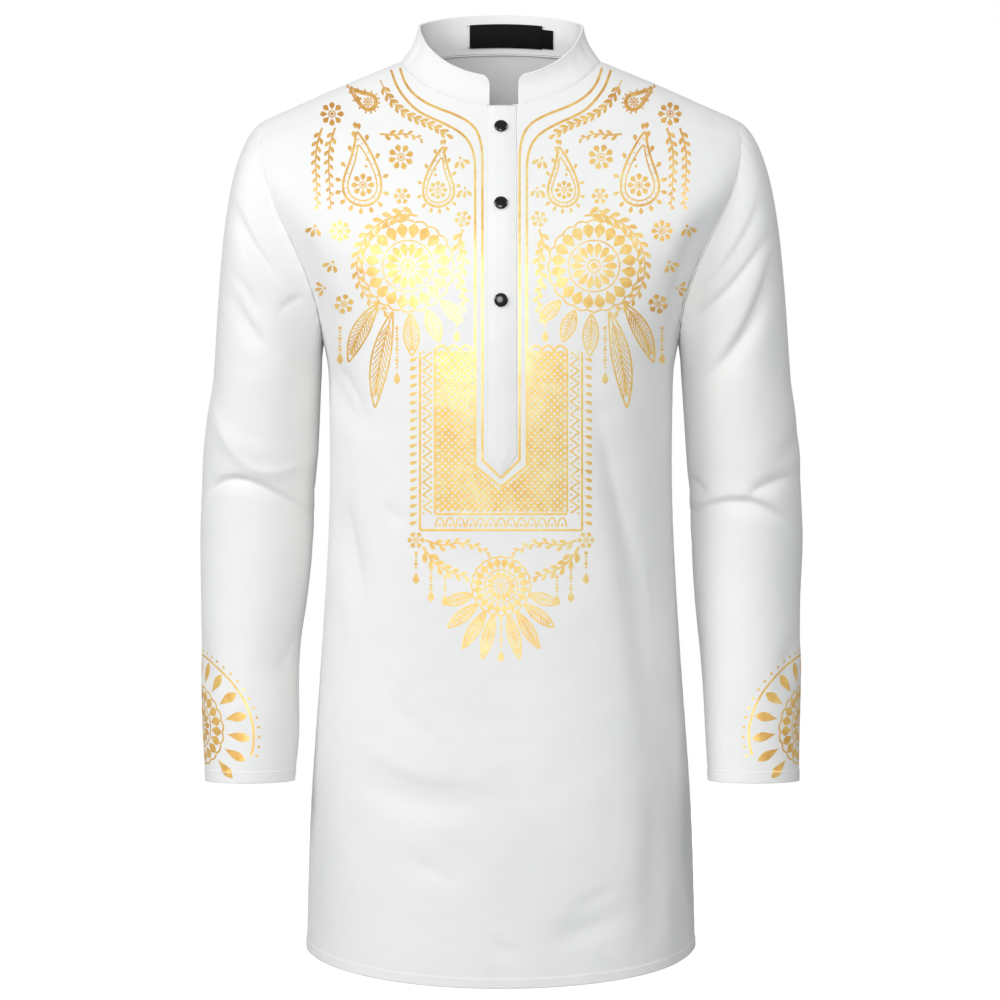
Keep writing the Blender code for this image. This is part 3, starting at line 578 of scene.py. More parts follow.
@dataclass
class Cloth:
    """A panel of cloth as a grid of outer points, with a wall behind it."""

    points: Array
    outward: int = 1
    closed: bool = False
    left_out: Array | None = None
    seam_normals: Array | None = None

    def __post_init__(self) -> None:
        """Works out the panel's normals."""
        self.normals = grid_normals(self.points, self.closed) * self.outward
        if self.seam_normals is not None:
            self.normals[0] = self.seam_normals

    def raised(self, rise: Array) -> Cloth:
        """The same panel with each point moved out by its rise."""
        moved = self.points + self.normals * rise[..., None]
        return Cloth(moved, self.outward, self.closed, self.left_out, self.seam_normals)

    def quads(self) -> Array:
        """The panel's cells as rows of four point numbers, facing out."""
        rows, cols = self.points.shape[:2]
        number = np.arange(rows * cols).reshape(rows, cols)
        right = np.roll(number, -1, axis=1) if self.closed else number[:, 1:]
        left = number if self.closed else number[:, :-1]
        cells = np.stack([left[:-1], right[:-1], right[1:], left[1:]], axis=-1)
        if self.left_out is not None:
            cells = cells[~self.left_out]
        cells = cells.reshape(-1, 4)
        flat, normal = self.points.reshape(-1, 3), self.normals.reshape(-1, 3)
        facing = np.cross(flat[cells[:, 1]] - flat[cells[:, 0]], flat[cells[:, 3]] - flat[cells[:, 0]])
        if np.sum(facing * normal[cells[:, 0]]) < 0:
            cells = cells[:, ::-1]
        return cells

    def edge_distance(self) -> Array:
        """Each point's distance, along its row, to the nearer side edge."""
        run = run_lengths(self.points, 1)
        return np.minimum(run, run[:, -1:] - run)

    def caster(self) -> BVHTree:
        """The outer face, to find points on it."""
        return BVHTree.FromPolygons(self.points.reshape(-1, 3).tolist(), self.quads().tolist())

    def build(self, name: str, wall: float | Array, material: bpy.types.Material) -> bpy.types.Object:
        """Makes the panel as a closed wall.

        Args:
            name: The piece's name.
            wall: The wall's thickness, or one for each point.
            material: Its finish.

        Returns:
            The piece.
        """
        thick = np.broadcast_to(wall, self.points.shape[:2])[..., None]
        inner = self.points - self.normals * thick
        flat = np.concatenate([self.points.reshape(-1, 3), inner.reshape(-1, 3)])
        beneath = self.points.shape[0] * self.points.shape[1]
        cells = self.quads()
        edges = np.concatenate([cells[:, [n, (n + 1) % 4]] for n in range(4)])
        code = edges[:, 0].astype(np.int64) * len(flat) + edges[:, 1]
        reverse = edges[:, 1].astype(np.int64) * len(flat) + edges[:, 0]
        border = edges[~np.isin(code, reverse)]
        rim = np.concatenate([border[:, ::-1], border + beneath], axis=1)
        faces = np.concatenate([cells, cells[:, ::-1] + beneath, rim])
        # The cloth's own lengths, so that the weave runs with the panel
        rows, cols = self.points.shape[:2]
        run_u = run_lengths(self.points, 1)
        run_v = np.broadcast_to(run_lengths(self.points, 0)[:, cols // 2 : cols // 2 + 1], (rows, cols))
        uv = np.tile(np.stack([run_u, run_v], axis=-1).reshape(-1, 2), (2, 1))
        uv = uv[faces.reshape(-1)]
        if self.closed:
            column = (faces % cols).reshape(-1, 4)
            wraps = (column.max(axis=1) - column.min(axis=1)) > cols // 2
            lengthen = np.repeat(wraps, 4) & (column.reshape(-1) < cols // 2)
            uv[lengthen, 0] += run_u[:, -1].mean()
        return make_piece(name, flat, faces, material, uv)


def link_object(name: str, data: bpy.types.ID) -> bpy.types.Object:
    """Puts a mesh, a lamp or a camera in the scene."""
    made = bpy.data.objects.new(name, data)
    bpy.context.scene.collection.objects.link(made)
    return made


def link_mesh(
    name: str,
    points: Array,
    faces: Sequence[Sequence[int]],
    material: bpy.types.Material,
    smooth: bool = True,
) -> bpy.types.Object:
    """Makes a piece from points and faces in one finish, shaded smooth or flat."""
    mesh = bpy.data.meshes.new(name)
    mesh.from_pydata(points.tolist(), [], faces)
    mesh.materials.append(material)
    mesh.polygons.foreach_set("use_smooth", [smooth] * len(mesh.polygons))
    mesh.update()
    return link_object(name, mesh)


def make_piece(
    name: str, points: Array, faces: Array, material: bpy.types.Material, uv: Array
) -> bpy.types.Object:
    """Makes a cloth piece of four-sided faces, with its own lengths as a UV map."""
    used, fresh = np.unique(faces.reshape(-1), return_inverse=True)
    piece = link_mesh(name, points[used], fresh.reshape(faces.shape).tolist(), material)
    layer = piece.data.uv_layers.new(name="cloth_lengths")
    layer.data.foreach_set("uv", uv.astype(np.float32).reshape(-1))
    return piece


class Sock:
    """A node's output, with arithmetic that adds Math nodes."""

    def __init__(self, shade: Shade, socket: bpy.types.NodeSocket) -> None:
        """Wraps a socket of a material's tree."""
        self.shade, self.socket = shade, socket

    def _math(self, operation: str, *values: Any) -> Sock:
        """One Math node on the values."""
        return self.shade.node("ShaderNodeMath", {"operation": operation}, dict(enumerate(values)))

    def __add__(self, other: Any) -> Sock:
        """self + other."""
        return self._math("ADD", self, other)

    def __sub__(self, other: Any) -> Sock:
        """self - other."""
        return self._math("SUBTRACT", self, other)

    def __mul__(self, other: Any) -> Sock:
        """self * other."""
        return self._math("MULTIPLY", self, other)

    def sin(self) -> Sock:
        """The sine."""
        return self._math("SINE", self)

    def abs(self) -> Sock:
        """The size without its sign."""
        return self._math("ABSOLUTE", self)

    def step(self, low: float, high: float) -> Sock:
        """A soft step from 0 at low to 1 at high."""
        settings = {"interpolation_type": "SMOOTHSTEP", "clamp": True}
        values = {"Value": self, "From Min": low, "From Max": high}
        return self.shade.node("ShaderNodeMapRange", settings, values)


class Shade:
    """Builds one material's nodes."""

    def __init__(self, name: str) -> None:
        """Starts a material with its Principled shader."""
        self.material = bpy.data.materials.new(name)
        self.material.use_nodes = True
        self.tree = self.material.node_tree
        self.shader = self.tree.nodes["Principled BSDF"]

    def node(
        self,
        kind: str,
        settings: dict[str, Any] | None = None,
        values: dict[Any, Any] | None = None,
        out: Any = 0,
    ) -> Sock:
        """Adds a node.

        Args:
            kind: The node's type.
            settings: Its own settings, set first; "stops" are a ramp's places and colours.
            values: Values or links of its inputs, by name or number.
            out: The output to give back, by name or number.

        Returns:
            That output.
        """
        made = self.tree.nodes.new(kind)
        for key, value in (settings or {}).items():
            if key == "stops":
                ramp = made.color_ramp
                while len(ramp.elements) < len(value):
                    ramp.elements.new(0.5)
                for element, (place, colour) in zip(ramp.elements, value):
                    element.position, element.color = place, (*colour, 1)
            else:
                setattr(made, key, value)
        for key, value in (values or {}).items():
            self.feed(made.inputs[key], value)
        return Sock(self, made.outputs[out])

    def feed(self, socket: bpy.types.NodeSocket, value: Any) -> None:
        """Links or sets one input."""
        if isinstance(value, Sock):
            self.tree.links.new(value.socket, socket)
        else:
            socket.default_value = value

    def dress(self, **values: Any) -> bpy.types.Material:
        """Sets the shader's sockets, named with underscores for spaces, and gives the material."""
        for key, value in values.items():
            self.feed(self.shader.inputs[key.replace("_", " ")], value)
        return self.material

    def object_place(self) -> Sock:
        """The place on the object, in metres."""
        return self.node("ShaderNodeTexCoord", out="Object")

    def noise(self, place: Sock, scale: float, detail: float = 2.0) -> Sock:
        """Soft noise over the object."""
        return self.node("ShaderNodeTexNoise", {}, {"Vector": place, "Scale": scale, "Detail": detail})

    def blend(self, share: Any, a: Any, b: Any) -> Sock:
        """A colour between two."""
        return self.node("ShaderNodeMix", {"data_type": "RGBA"}, {0: share, 6: a, 7: b}, out=2)

    def bump(self, height: Sock) -> Sock:
        """A normal from a height in metres."""
        return self.node("ShaderNodeBump", {}, {"Strength": 1.0, "Distance": 1.0, "Height": height})

    def weave(self, pitch: float) -> Sock:
        """A fine plain weave on the cloth's own lengths, from -1 to 1."""
        own = self.node("ShaderNodeUVMap", {"uv_map": "cloth_lengths"})
        apart = self.node("ShaderNodeSeparateXYZ", {}, {0: own})
        other = Sock(self, apart.socket.node.outputs[1])
        turns = 2 * math.pi / pitch
        return (apart * turns).sin() * (other * turns).sin()


@dataclass(frozen=True)
class WhiteCloth:
    """Smooth white polyester-cotton cloth with a faint sheen."""

    colour: tuple[float, float, float] = (0.895, 0.90, 0.885)
    shade_colour: tuple[float, float, float] = (0.865, 0.872, 0.866)
    roughness: float = 0.62
    weave_pitch: float = 0.00042

    def material(self, name: str) -> bpy.types.Material:
        """Makes the cloth's material."""
        shade = Shade(name)
        place = shade.object_place()
        cloud = shade.noise(place, 9.0, 3.0).step(0.35, 0.65)
        fine = shade.noise(place, 420.0, 2.0)
        weave = shade.weave(self.weave_pitch)
        rumple = shade.noise(place, 22.0, 2.0)
        height = rumple * 0.0022 + weave * 0.000016 + fine * 0.00002
        return shade.dress(
            Base_Color=shade.blend(cloud, (*self.shade_colour, 1), (*self.colour, 1)),
            Roughness=fine * 0.12 + (self.roughness - 0.06),
            Normal=shade.bump(height),
            Sheen_Weight=0.18,
            Sheen_Roughness=0.45,
            Specular_IOR_Level=0.32,
        )


@dataclass(frozen=True)
class GoldFoil:
    """Foil pressed on the cloth, with its reflection painted into its colour: a pale painted highlight
    over the middle of the chest, painted shade in dark brown gold towards the sides and the shoulders,
    and painted glints.
    """

    # The pale colour is a painted highlight and the darkest colour is painted shade; the middle gold is
    # the foil's own colour.
    pale: tuple[float, float, float] = (1.0, 0.82, 0.36)
    gold: tuple[float, float, float] = (0.98, 0.66, 0.20)
    bronze: tuple[float, float, float] = (0.70, 0.33, 0.06)

    def material(self, name: str) -> bpy.types.Material:
        """Makes the foil's material."""
        shade = Shade(name)
        place = shade.object_place()
        apart = shade.node("ShaderNodeSeparateXYZ", {}, {0: place})
        x, z = apart, Sock(shade, apart.socket.node.outputs[2])
        # Painted shade: by place alone, the colour darkens towards the sides (outward) and towards the
        # shoulders.
        outward = x.abs().step(0.055, 0.165)
        painted_shade_upward = z.step(-0.130, -0.030)
        # Painted reflection: these two noises paint light and dark patches, like glints, into the foil's
        # colour.
        painted_glint_drift = shade.noise(place, 24.0, 2.0)
        patch = shade.noise(place, 120.0, 2.0)
        painted_reflection_tone = painted_glint_drift * 0.70 + patch * 0.62 - 0.24 + outward * 0.22 + painted_shade_upward * 0.26
        colour = shade.node(
            "ShaderNodeValToRGB",
            {"stops": ((0.26, self.pale), (0.52, self.gold), (0.95, self.bronze))},
            {0: painted_reflection_tone},
        )
        grain = shade.noise(place, 900.0, 1.0)
        rough, bump = grain * 0.14 + 0.30, shade.bump(grain * 0.00002)
        return shade.dress(Base_Color=colour, Metallic=0.30, Roughness=rough, Normal=bump)


@dataclass(frozen=True)
class ButtonGloss:
    """Glossy black moulded resin."""

    colour: tuple[float, float, float] = (0.0015, 0.0015, 0.002)

    def material(self, name: str) -> bpy.types.Material:
        """Makes the buttons' material."""
        shade = Shade(name)
        swirl = shade.noise(shade.object_place(), 320.0, 3.0)
        colour = shade.blend(swirl.step(0.4, 0.7), (*self.colour, 1), (0.006, 0.006, 0.007, 1))
        return shade.dress(Base_Color=colour, Roughness=swirl * 0.08 + 0.14, Coat_Weight=0.15, IOR=1.50)


@dataclass(frozen=True)
class WovenTape:
    """Black woven tape with a fine rib."""

    colour: tuple[float, float, float] = (0.0015, 0.0015, 0.002)

    def material(self, name: str) -> bpy.types.Material:
        """Makes the tape's material."""
        shade = Shade(name)
        rib = shade.weave(0.0006)
        colour = shade.blend(rib.step(-0.6, 0.9), (*self.colour, 1), (0.005, 0.005, 0.006, 1))
        rough, bump = rib * 0.08 + 0.60, shade.bump(rib * 0.00005)
        return shade.dress(Base_Color=colour, Roughness=rough, Normal=bump, Specular_IOR_Level=0.12)


@dataclass(frozen=True)
class SewingThread:
    """Twisted sewing thread."""

    colour: tuple[float, float, float]

    def material(self, name: str) -> bpy.types.Material:
        """Makes the thread's material."""
        shade = Shade(name)
        twist = shade.noise(shade.object_place(), 2600.0, 2.0)
        dark = tuple(0.8 * part for part in self.colour)
        colour = shade.blend(twist, (*dark, 1), (*self.colour, 1))
        rough, bump = twist * 0.1 + 0.5, shade.bump(twist * 0.00006)
        return shade.dress(Base_Color=colour, Roughness=rough, Normal=bump)


def dress_piece(piece: bpy.types.Object, slot: str | None, *nodes: str) -> None:
    """Rides a finished piece on the shirt and hides the nodes that it stands for."""
    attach(piece, BODY)
    if nodes:
        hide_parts(*nodes)
    LOG.info("%s: %d faces", piece.name, len(piece.data.polygons))


@dataclass
class Trunk:
    """The front and back panels."""

    form: ShirtForm
    cloth: bpy.types.Material
    hem_band: float = 0.0085
    seam_dip: float = 0.00018
    seam_spread: float = 0.0024
    pucker: float = 0.00022
    pucker_pitch: float = 0.021
    pucker_reach: float = 0.006
    edge_gap: float = 0.0001
    hem_end_t: float = 0.0150
    neck_start_t: float = 0.986
    near_edge: float = 0.958
    half_columns: int = 66
    edge_columns: int = 9
    slot_columns: int = 8
    front: Cloth = field(init=False)
    back: Cloth = field(init=False)

    def levels(self) -> Array:
        """Levels from the hem to the neck seam, closer at the hem, the armhole and the neck."""
        hem = np.linspace(0, self.hem_end_t, 14)[:-1]
        below = np.linspace(self.hem_end_t, ARMHOLE_LOW_T, 132)[:-1]
        beside = ARMHOLE_MIDDLE - ARMHOLE_HALF * np.cos(np.linspace(0, math.pi, 56))
        above = np.linspace(ARMHOLE_HIGH_T, self.neck_start_t, 36)[1:-1]
        neck = np.linspace(self.neck_start_t, 1, 9)
        return np.concatenate([hem, below, beside, above, neck])

    def spread(self) -> Array:
        """Shares from a panel's middle to its edge, closer at the edge."""
        middle = np.linspace(0, self.near_edge, self.half_columns)[:-1]
        return np.concatenate([middle, np.linspace(self.near_edge, 1, self.edge_columns)])

    def sewn(self, panel: Cloth) -> Cloth:
        """The panel drawn in at its seams and thicker at its turned hem."""
        up = run_lengths(panel.points, 0)
        from_edge, from_neck = panel.edge_distance(), up[-1:] - up
        dip = sum(np.exp(-((away / self.seam_spread) ** 2)) for away in (from_edge, from_neck))
        band = 1 - smooth(up, self.hem_band - HEM_SOFT, self.hem_band + HEM_SOFT)
        pucker = np.sin(up * 2 * math.pi / self.pucker_pitch + panel.points[..., 0] * 40)
        pull = self.pucker * pucker * np.exp(-from_edge / self.pucker_reach)
        return panel.raised(band * HEM_STEP - np.minimum(dip, 1) * self.seam_dip + pull)

    def make_front(self) -> Cloth:
        """The front panel's grid, with the placket's slot left out."""
        t = self.levels()
        edge = self.form.panel_edge(t, False, self.edge_gap)
        slot = np.arcsin(SLOT_HALF_WIDTH / self.form.side(t)["half_width"])
        half = slot[:, None] + (edge - slot)[:, None] * self.spread()
        middle = slot[:, None] * np.linspace(-1, 1, self.slot_columns + 1)[1:-1]
        angle = np.concatenate([-half[:, ::-1], middle, half], axis=1)
        points, _ = self.form.trunk(angle, t[:, None] + 0 * angle, creases=True)
        end_row = int(np.argmin(np.abs(self.form.centre(t)["front_z"] - SLOT_END_Z)))
        left_out = np.zeros((len(t) - 1, angle.shape[1] - 1), bool)
        first = half.shape[1] - 1
        left_out[end_row:, first : first + self.slot_columns] = True
        return self.sewn(Cloth(points, 1, left_out=left_out))

    def make_back(self) -> Cloth:
        """The back panel's grid."""
        t = self.levels()
        edge = self.form.panel_edge(t, True, self.edge_gap)
        share = np.concatenate([-self.spread()[:0:-1], self.spread()])
        angle = edge[:, None] * share
        points, _ = self.form.trunk(angle, t[:, None] + 0 * angle, True, creases=True)
        return self.sewn(Cloth(points, -1))

    def build(self) -> None:
        """Makes both panels."""
        self.front, self.back = self.make_front(), self.make_back()
        for name, panel, flat, area in (
            ("front_panel", self.front, (0.565, 0.850), 0.400),
            ("back_panel", self.back, (0.585, 0.905), 0.425),
        ):
            piece = panel.build(name, CLOTH_WALL, self.cloth)
            dress_piece(piece, "white_cloth", name.removesuffix("_panel"))


@dataclass
class Sleeve:
    """One sleeve, a tube of cloth from the armhole to the cuff."""

    form: ShirtForm
    side: Side
    cloth: bpy.types.Material
    columns: int = 176
    cuff_band: float = 0.0105
    cuff_start_s: float = 0.962
    seam_dip: float = 0.00016
    seam_spread: float = 0.0024
    pucker: float = 0.00028
    pucker_turns: int = 34
    pucker_reach: float = 0.010
    panel: Cloth = field(init=False)

    def build(self) -> None:
        """Makes the sleeve."""
        turn = np.linspace(0, 2 * math.pi, self.columns, endpoint=False)
        cap = CAP_END_S * np.linspace(0, 1, 58)[:-1] ** 1.25
        arm = np.linspace(CAP_END_S, self.cuff_start_s, 168)[:-1]
        s = np.concatenate([cap, arm, np.linspace(self.cuff_start_s, 1, 16)])
        points, normal = self.form.sleeve(self.side, turn, s)
        way = self.side.value
        panel = Cloth(points, way, closed=True, seam_normals=normal[0])
        down = run_lengths(panel.points, 0)
        from_cuff = down[-1:] - down
        band = 1 - smooth(from_cuff, self.cuff_band - HEM_SOFT, self.cuff_band + HEM_SOFT)
        dip = np.exp(-((down / self.seam_spread) ** 2)) * self.seam_dip
        pucker = np.sin(turn * self.pucker_turns) * self.pucker * np.exp(-down / self.pucker_reach)
        self.panel = panel.raised(band * HEM_STEP - dip + pucker)
        piece = self.panel.build("sleeve_" + self.side.word + "_cloth", CLOTH_WALL, self.cloth)
        dress_piece(piece, "white_cloth", "sleeve_" + self.side.word)

    def cuff_place(self, across: Array, up: Array, lift: float) -> Array:
        """Points over the cuff: across runs round from the outer line to the front, up from the hem."""
        grid, normal = self.panel.points, self.panel.normals
        rows, cols = grid.shape[:2]
        around = run_lengths(np.concatenate([grid, grid[:, :1]], axis=1), 1)
        height = run_lengths(grid, 0)
        height = (height[-1:] - height)[:, 0]
        row = np.clip(np.interp(-up, -height, np.arange(rows)), 0, rows - 1.001)
        found = np.zeros((*across.shape, 3))
        i = row.astype(int)
        share = (row - i)[..., None]
        for step, weight in ((0, 1 - share), (1, share)):
            r = i + step
            wanted = np.mod(across, around[r, -1])
            numbers = np.arange(cols + 1)
            found_at = [np.interp(w, around[k], numbers) for w, k in zip(wanted.ravel(), r.ravel())]
            column = np.array(found_at).reshape(across.shape)
            j = np.minimum(column.astype(int), cols - 1)
            u = (column - j)[..., None]
            k = (j + 1) % cols
            at = grid[r, j] * (1 - u) + grid[r, k] * u
            off = normal[r, j] * (1 - u) + normal[r, k] * u
            found += (at + unit(off) * lift) * weight
        return found


@dataclass
class Collar:
    """The stand collar, two layers of cloth with a turned edge."""

    form: ShirtForm
    cloth: bpy.types.Material
    columns: int = 170
    edge_round: float = 0.0011
    foot_up: float = 0.08
    rim_up: float = 0.95
    seam_dip: float = 0.0003
    seam_spread: float = 0.0016
    wrinkles: tuple[tuple[float, float, float], ...] = (
        (5.02, 0.045, -0.0011),
        (5.20, 0.05, 0.0007),
        (5.35, 0.06, -0.0008),
        (1.30, 0.06, -0.0008),
        (0.95, 0.07, 0.0006),
        (3.5, 0.10, -0.0007),
    )
    panel: Cloth = field(init=False)

    def build(self) -> None:
        """Makes the collar."""
        corner = COLLAR_CORNER / (2 * math.pi * COLLAR_TOP["half_width"])
        rounded = corner * (1 - np.cos(np.linspace(0, math.pi / 2, 16)))
        middle = np.linspace(corner, 1 - corner, self.columns)
        along = np.concatenate([rounded, middle[1:-1], (1 - rounded)[::-1]])
        from_end = np.minimum(along, 1 - along) / corner
        fall = 1 - np.sqrt(np.clip(1 - np.clip(1 - from_end, 0, 1) ** 2, 0, 1))
        height = 1 - (1 - COLLAR_END_SHARE) * fall
        rim = self.rim_up + (1 - self.rim_up) * np.sin(np.linspace(0, math.pi / 2, 6))
        foot, middle = np.linspace(0, self.foot_up, 4), np.linspace(self.foot_up, self.rim_up, 16)
        up = np.concatenate([foot[:-1], middle[:-1], rim])[:, None] * height
        first = self.form.collar_angle(COLLAR_END_LEFT_X, up)
        last = 2 * math.pi + self.form.collar_angle(COLLAR_END_RIGHT_X, up)
        wide = first + (last - first) * along
        points, normal = self.form.collar(wide, up)
        panel = Cloth(points, 1)
        # The form's own normals, because the cells narrow to slivers at the rounded corners
        panel.normals = normal
        # Soft upright wrinkles over the wearer's right collarbone and at the back
        wrinkle = np.zeros_like(up)
        for at, spread, rise in self.wrinkles:
            wrinkle += rise * np.exp(-(((wide - at) / spread) ** 2))
        wrinkle *= np.sin(math.pi * np.clip(up * 0.9 + 0.05, 0, 1)) ** 0.7
        up_run = run_lengths(points, 0)
        to_edge = np.minimum(up_run[-1:] - up_run, panel.edge_distance())
        r = self.edge_round
        turned = r - np.sqrt(np.clip(r * r - np.clip(r - to_edge, 0, r) ** 2, 0, None))
        dip = self.seam_dip * np.exp(-((up_run / self.seam_spread) ** 2))
        self.panel = panel.raised(wrinkle - turned - dip)
        self.panel.normals = normal
        piece = self.panel.build("collar_band", COLLAR_WALL - 2 * turned * 0.98, self.cloth)
        dress_piece(piece, "white_cloth", "collar")


@dataclass
class Placket:
    """The half placket: the button strip in the slot and the buttonhole strip over it."""

    form: ShirtForm
    cloth: bpy.types.Material
    row_step: float = 0.0024
    tip_short: float = 0.0005
    tip_width: float = 0.04
    edge_drop: float = 0.0013
    drop_from: float = -0.0008
    drop_to: float = 0.0110
    over: Cloth = field(init=False)

    def heights(self, top: float) -> Array:
        """The upper strip's rows, with one at each end of each buttonhole, down to its tip."""
        ends = (BUTTONHOLE_HALF_HEIGHT, -BUTTONHOLE_HALF_HEIGHT)
        stops = [z + end for z in BUTTON_Z.values() for end in ends]
        rows = [top]
        for stop in [*stops, PLACKET_SQUARE_END_Z]:
            count = max(2, round((rows[-1] - stop) / self.row_step))
            rows += list(np.linspace(rows[-1], stop, count + 1)[1:])
        fall = PLACKET_TIP_Z + self.tip_short - PLACKET_SQUARE_END_Z
        return np.array([*rows, *(PLACKET_SQUARE_END_Z + fall * np.linspace(0, 1, 13)[1:])])

    def build(self) -> None:
        """Makes both strips."""
        top = float(self.form.centre(np.array(STRIP_TOP_T))["front_z"])
        z = self.heights(top)
        below = np.clip((PLACKET_SQUARE_END_Z - z) / (PLACKET_SQUARE_END_Z - PLACKET_TIP_Z), 0, 1)
        width = np.maximum(1 - below, self.tip_width)
        slit = BUTTONHOLE_HALF_WIDTH / PLACKET_HALF_WIDTH
        half = np.concatenate([[slit], np.linspace(0.2, 1, 15)])
        lanes = np.concatenate([-half[::-1], half])
        x = PLACKET_HALF_WIDTH * width[:, None] * lanes
        outer, _ = self.form.front_at(x, z[:, None] + 0 * x, SEAM_GAP + PLACKET_WALL)
        left_out = np.zeros((len(z) - 1, len(lanes) - 1), bool)
        levels = (z[:-1] + z[1:]) / 2
        for at in BUTTON_Z.values():
            left_out[np.abs(levels - at) < BUTTONHOLE_HALF_HEIGHT, len(half) - 1] = True
        panel = Cloth(outer, -1, left_out=left_out)
        drop = self.edge_drop * (1 - smooth(panel.edge_distance(), self.drop_from, self.drop_to))
        self.over = panel.raised(-drop)
        piece = self.over.build("placket_buttonhole_strip", PLACKET_WALL - drop * 0.80, self.cloth)
        dress_piece(piece, "white_cloth", "placket_over")

        z = np.linspace(top, SLOT_END_Z + 2 * SEAM_GAP, 150)[:, None]
        x = (SLOT_HALF_WIDTH - SEAM_GAP) * np.linspace(-1, 1, 9)
        outer, _ = self.form.front_at(x + 0 * z, z + 0 * x, 0.0)
        piece = Cloth(outer, -1).build("placket_button_strip", PLACKET_WALL, self.cloth)
        dress_piece(piece, "white_cloth", "placket_under")


@dataclass
class Buttons:
    """Domed buttons, each on its thread shank."""

    form: ShirtForm
    gloss: bpy.types.Material
    turns: int = 56
    shank_radius: float = 0.0011
    bevel: float = 0.00055
    rim: float = 0.0010
    dome: float = 0.0026
    shares: tuple[float, ...] = (1.0, 0.985, 0.95, 0.90, 0.82, 0.72, 0.60, 0.46, 0.32, 0.18, 0.07)

    def profile(self) -> list[tuple[float, float]]:
        """Radius and height over the seat, from the shank's foot out and over the dome."""
        rows = [(self.shank_radius, SEAM_GAP / 2 - PLACKET_WALL - SEAM_GAP), (self.shank_radius, 0.0)]
        for a in np.linspace(0, math.pi / 2, 5):
            radius = BUTTON_RADIUS - self.bevel * (1 - math.sin(a))
            rows.append((radius, self.bevel * (1 - math.cos(a))))
        for share in self.shares:
            height = self.rim + (self.dome - self.rim) * math.sqrt(max(1 - share**2, 0.0))
            rows.append((BUTTON_RADIUS * share, height))
        return rows

    def build(self) -> None:
        """Makes the three buttons."""
        profile = self.profile()
        for name, z in BUTTON_Z.items():
            seat, normal = self.form.front_at(np.array([0.0]), np.array([z]), SEAM_GAP * 2 + PLACKET_WALL)
            seat, normal = seat[0], normal[0]
            right = np.array([1.0, 0.0, 0.0])
            above = np.cross(normal, right)
            a = np.linspace(0, 2 * math.pi, self.turns, endpoint=False)
            ring = np.outer(np.cos(a), right) + np.outer(np.sin(a), above)
            points = np.concatenate(
                [[seat + normal * profile[0][1]]]
                + [seat + normal * height + ring * radius for radius, height in profile]
                + [[seat + normal * self.dome]]
            )
            n, last = self.turns, len(points) - 1
            faces: list[tuple[int, ...]] = []
            for j in range(n):
                k = (j + 1) % n
                faces.append((0, 1 + k, 1 + j))
                for i in range(len(profile) - 1):
                    low, high = 1 + i * n, 1 + (i + 1) * n
                    faces.append((low + j, low + k, high + k, high + j))
                end = 1 + (len(profile) - 1) * n
                faces.append((end + j, end + k, last))
            if np.dot(np.cross(right, above), normal) < 0:
                faces = [face[::-1] for face in faces]
            dress_piece(link_mesh(name + "_gloss", points, faces, self.gloss), "black_button", name)


def level_line(
    panel: Cloth, distance: float, lift: float, axis: int = 0, from_last: bool = False
) -> Array:
    """A line over a panel at one distance from its edge.

    Args:
        panel: The cloth.
        distance: How far from the edge, along the panel.
        lift: How far off the cloth.
        axis: 0 to measure along the columns, 1 along the rows.
        from_last: From the last row or column rather than the first.

    Returns:
        The line's points.
    """
    grid, normal = np.moveaxis(panel.points, axis, 0), np.moveaxis(panel.normals, axis, 0)
    if from_last:
        grid, normal = grid[::-1], normal[::-1]
    run = run_lengths(grid, 0)
    found = []
    for j in range(grid.shape[1]):
        if run[-1, j] < 2 * distance:
            continue
        at = min(float(np.interp(distance, run[:, j], np.arange(len(run)))), len(run) - 1.001)
        i, u = int(at), at - int(at)
        off = unit(normal[i, j] * (1 - u) + normal[i + 1, j] * u)
        found.append(grid[i, j] * (1 - u) + grid[i + 1, j] * u + off * lift)
    return np.array(found)


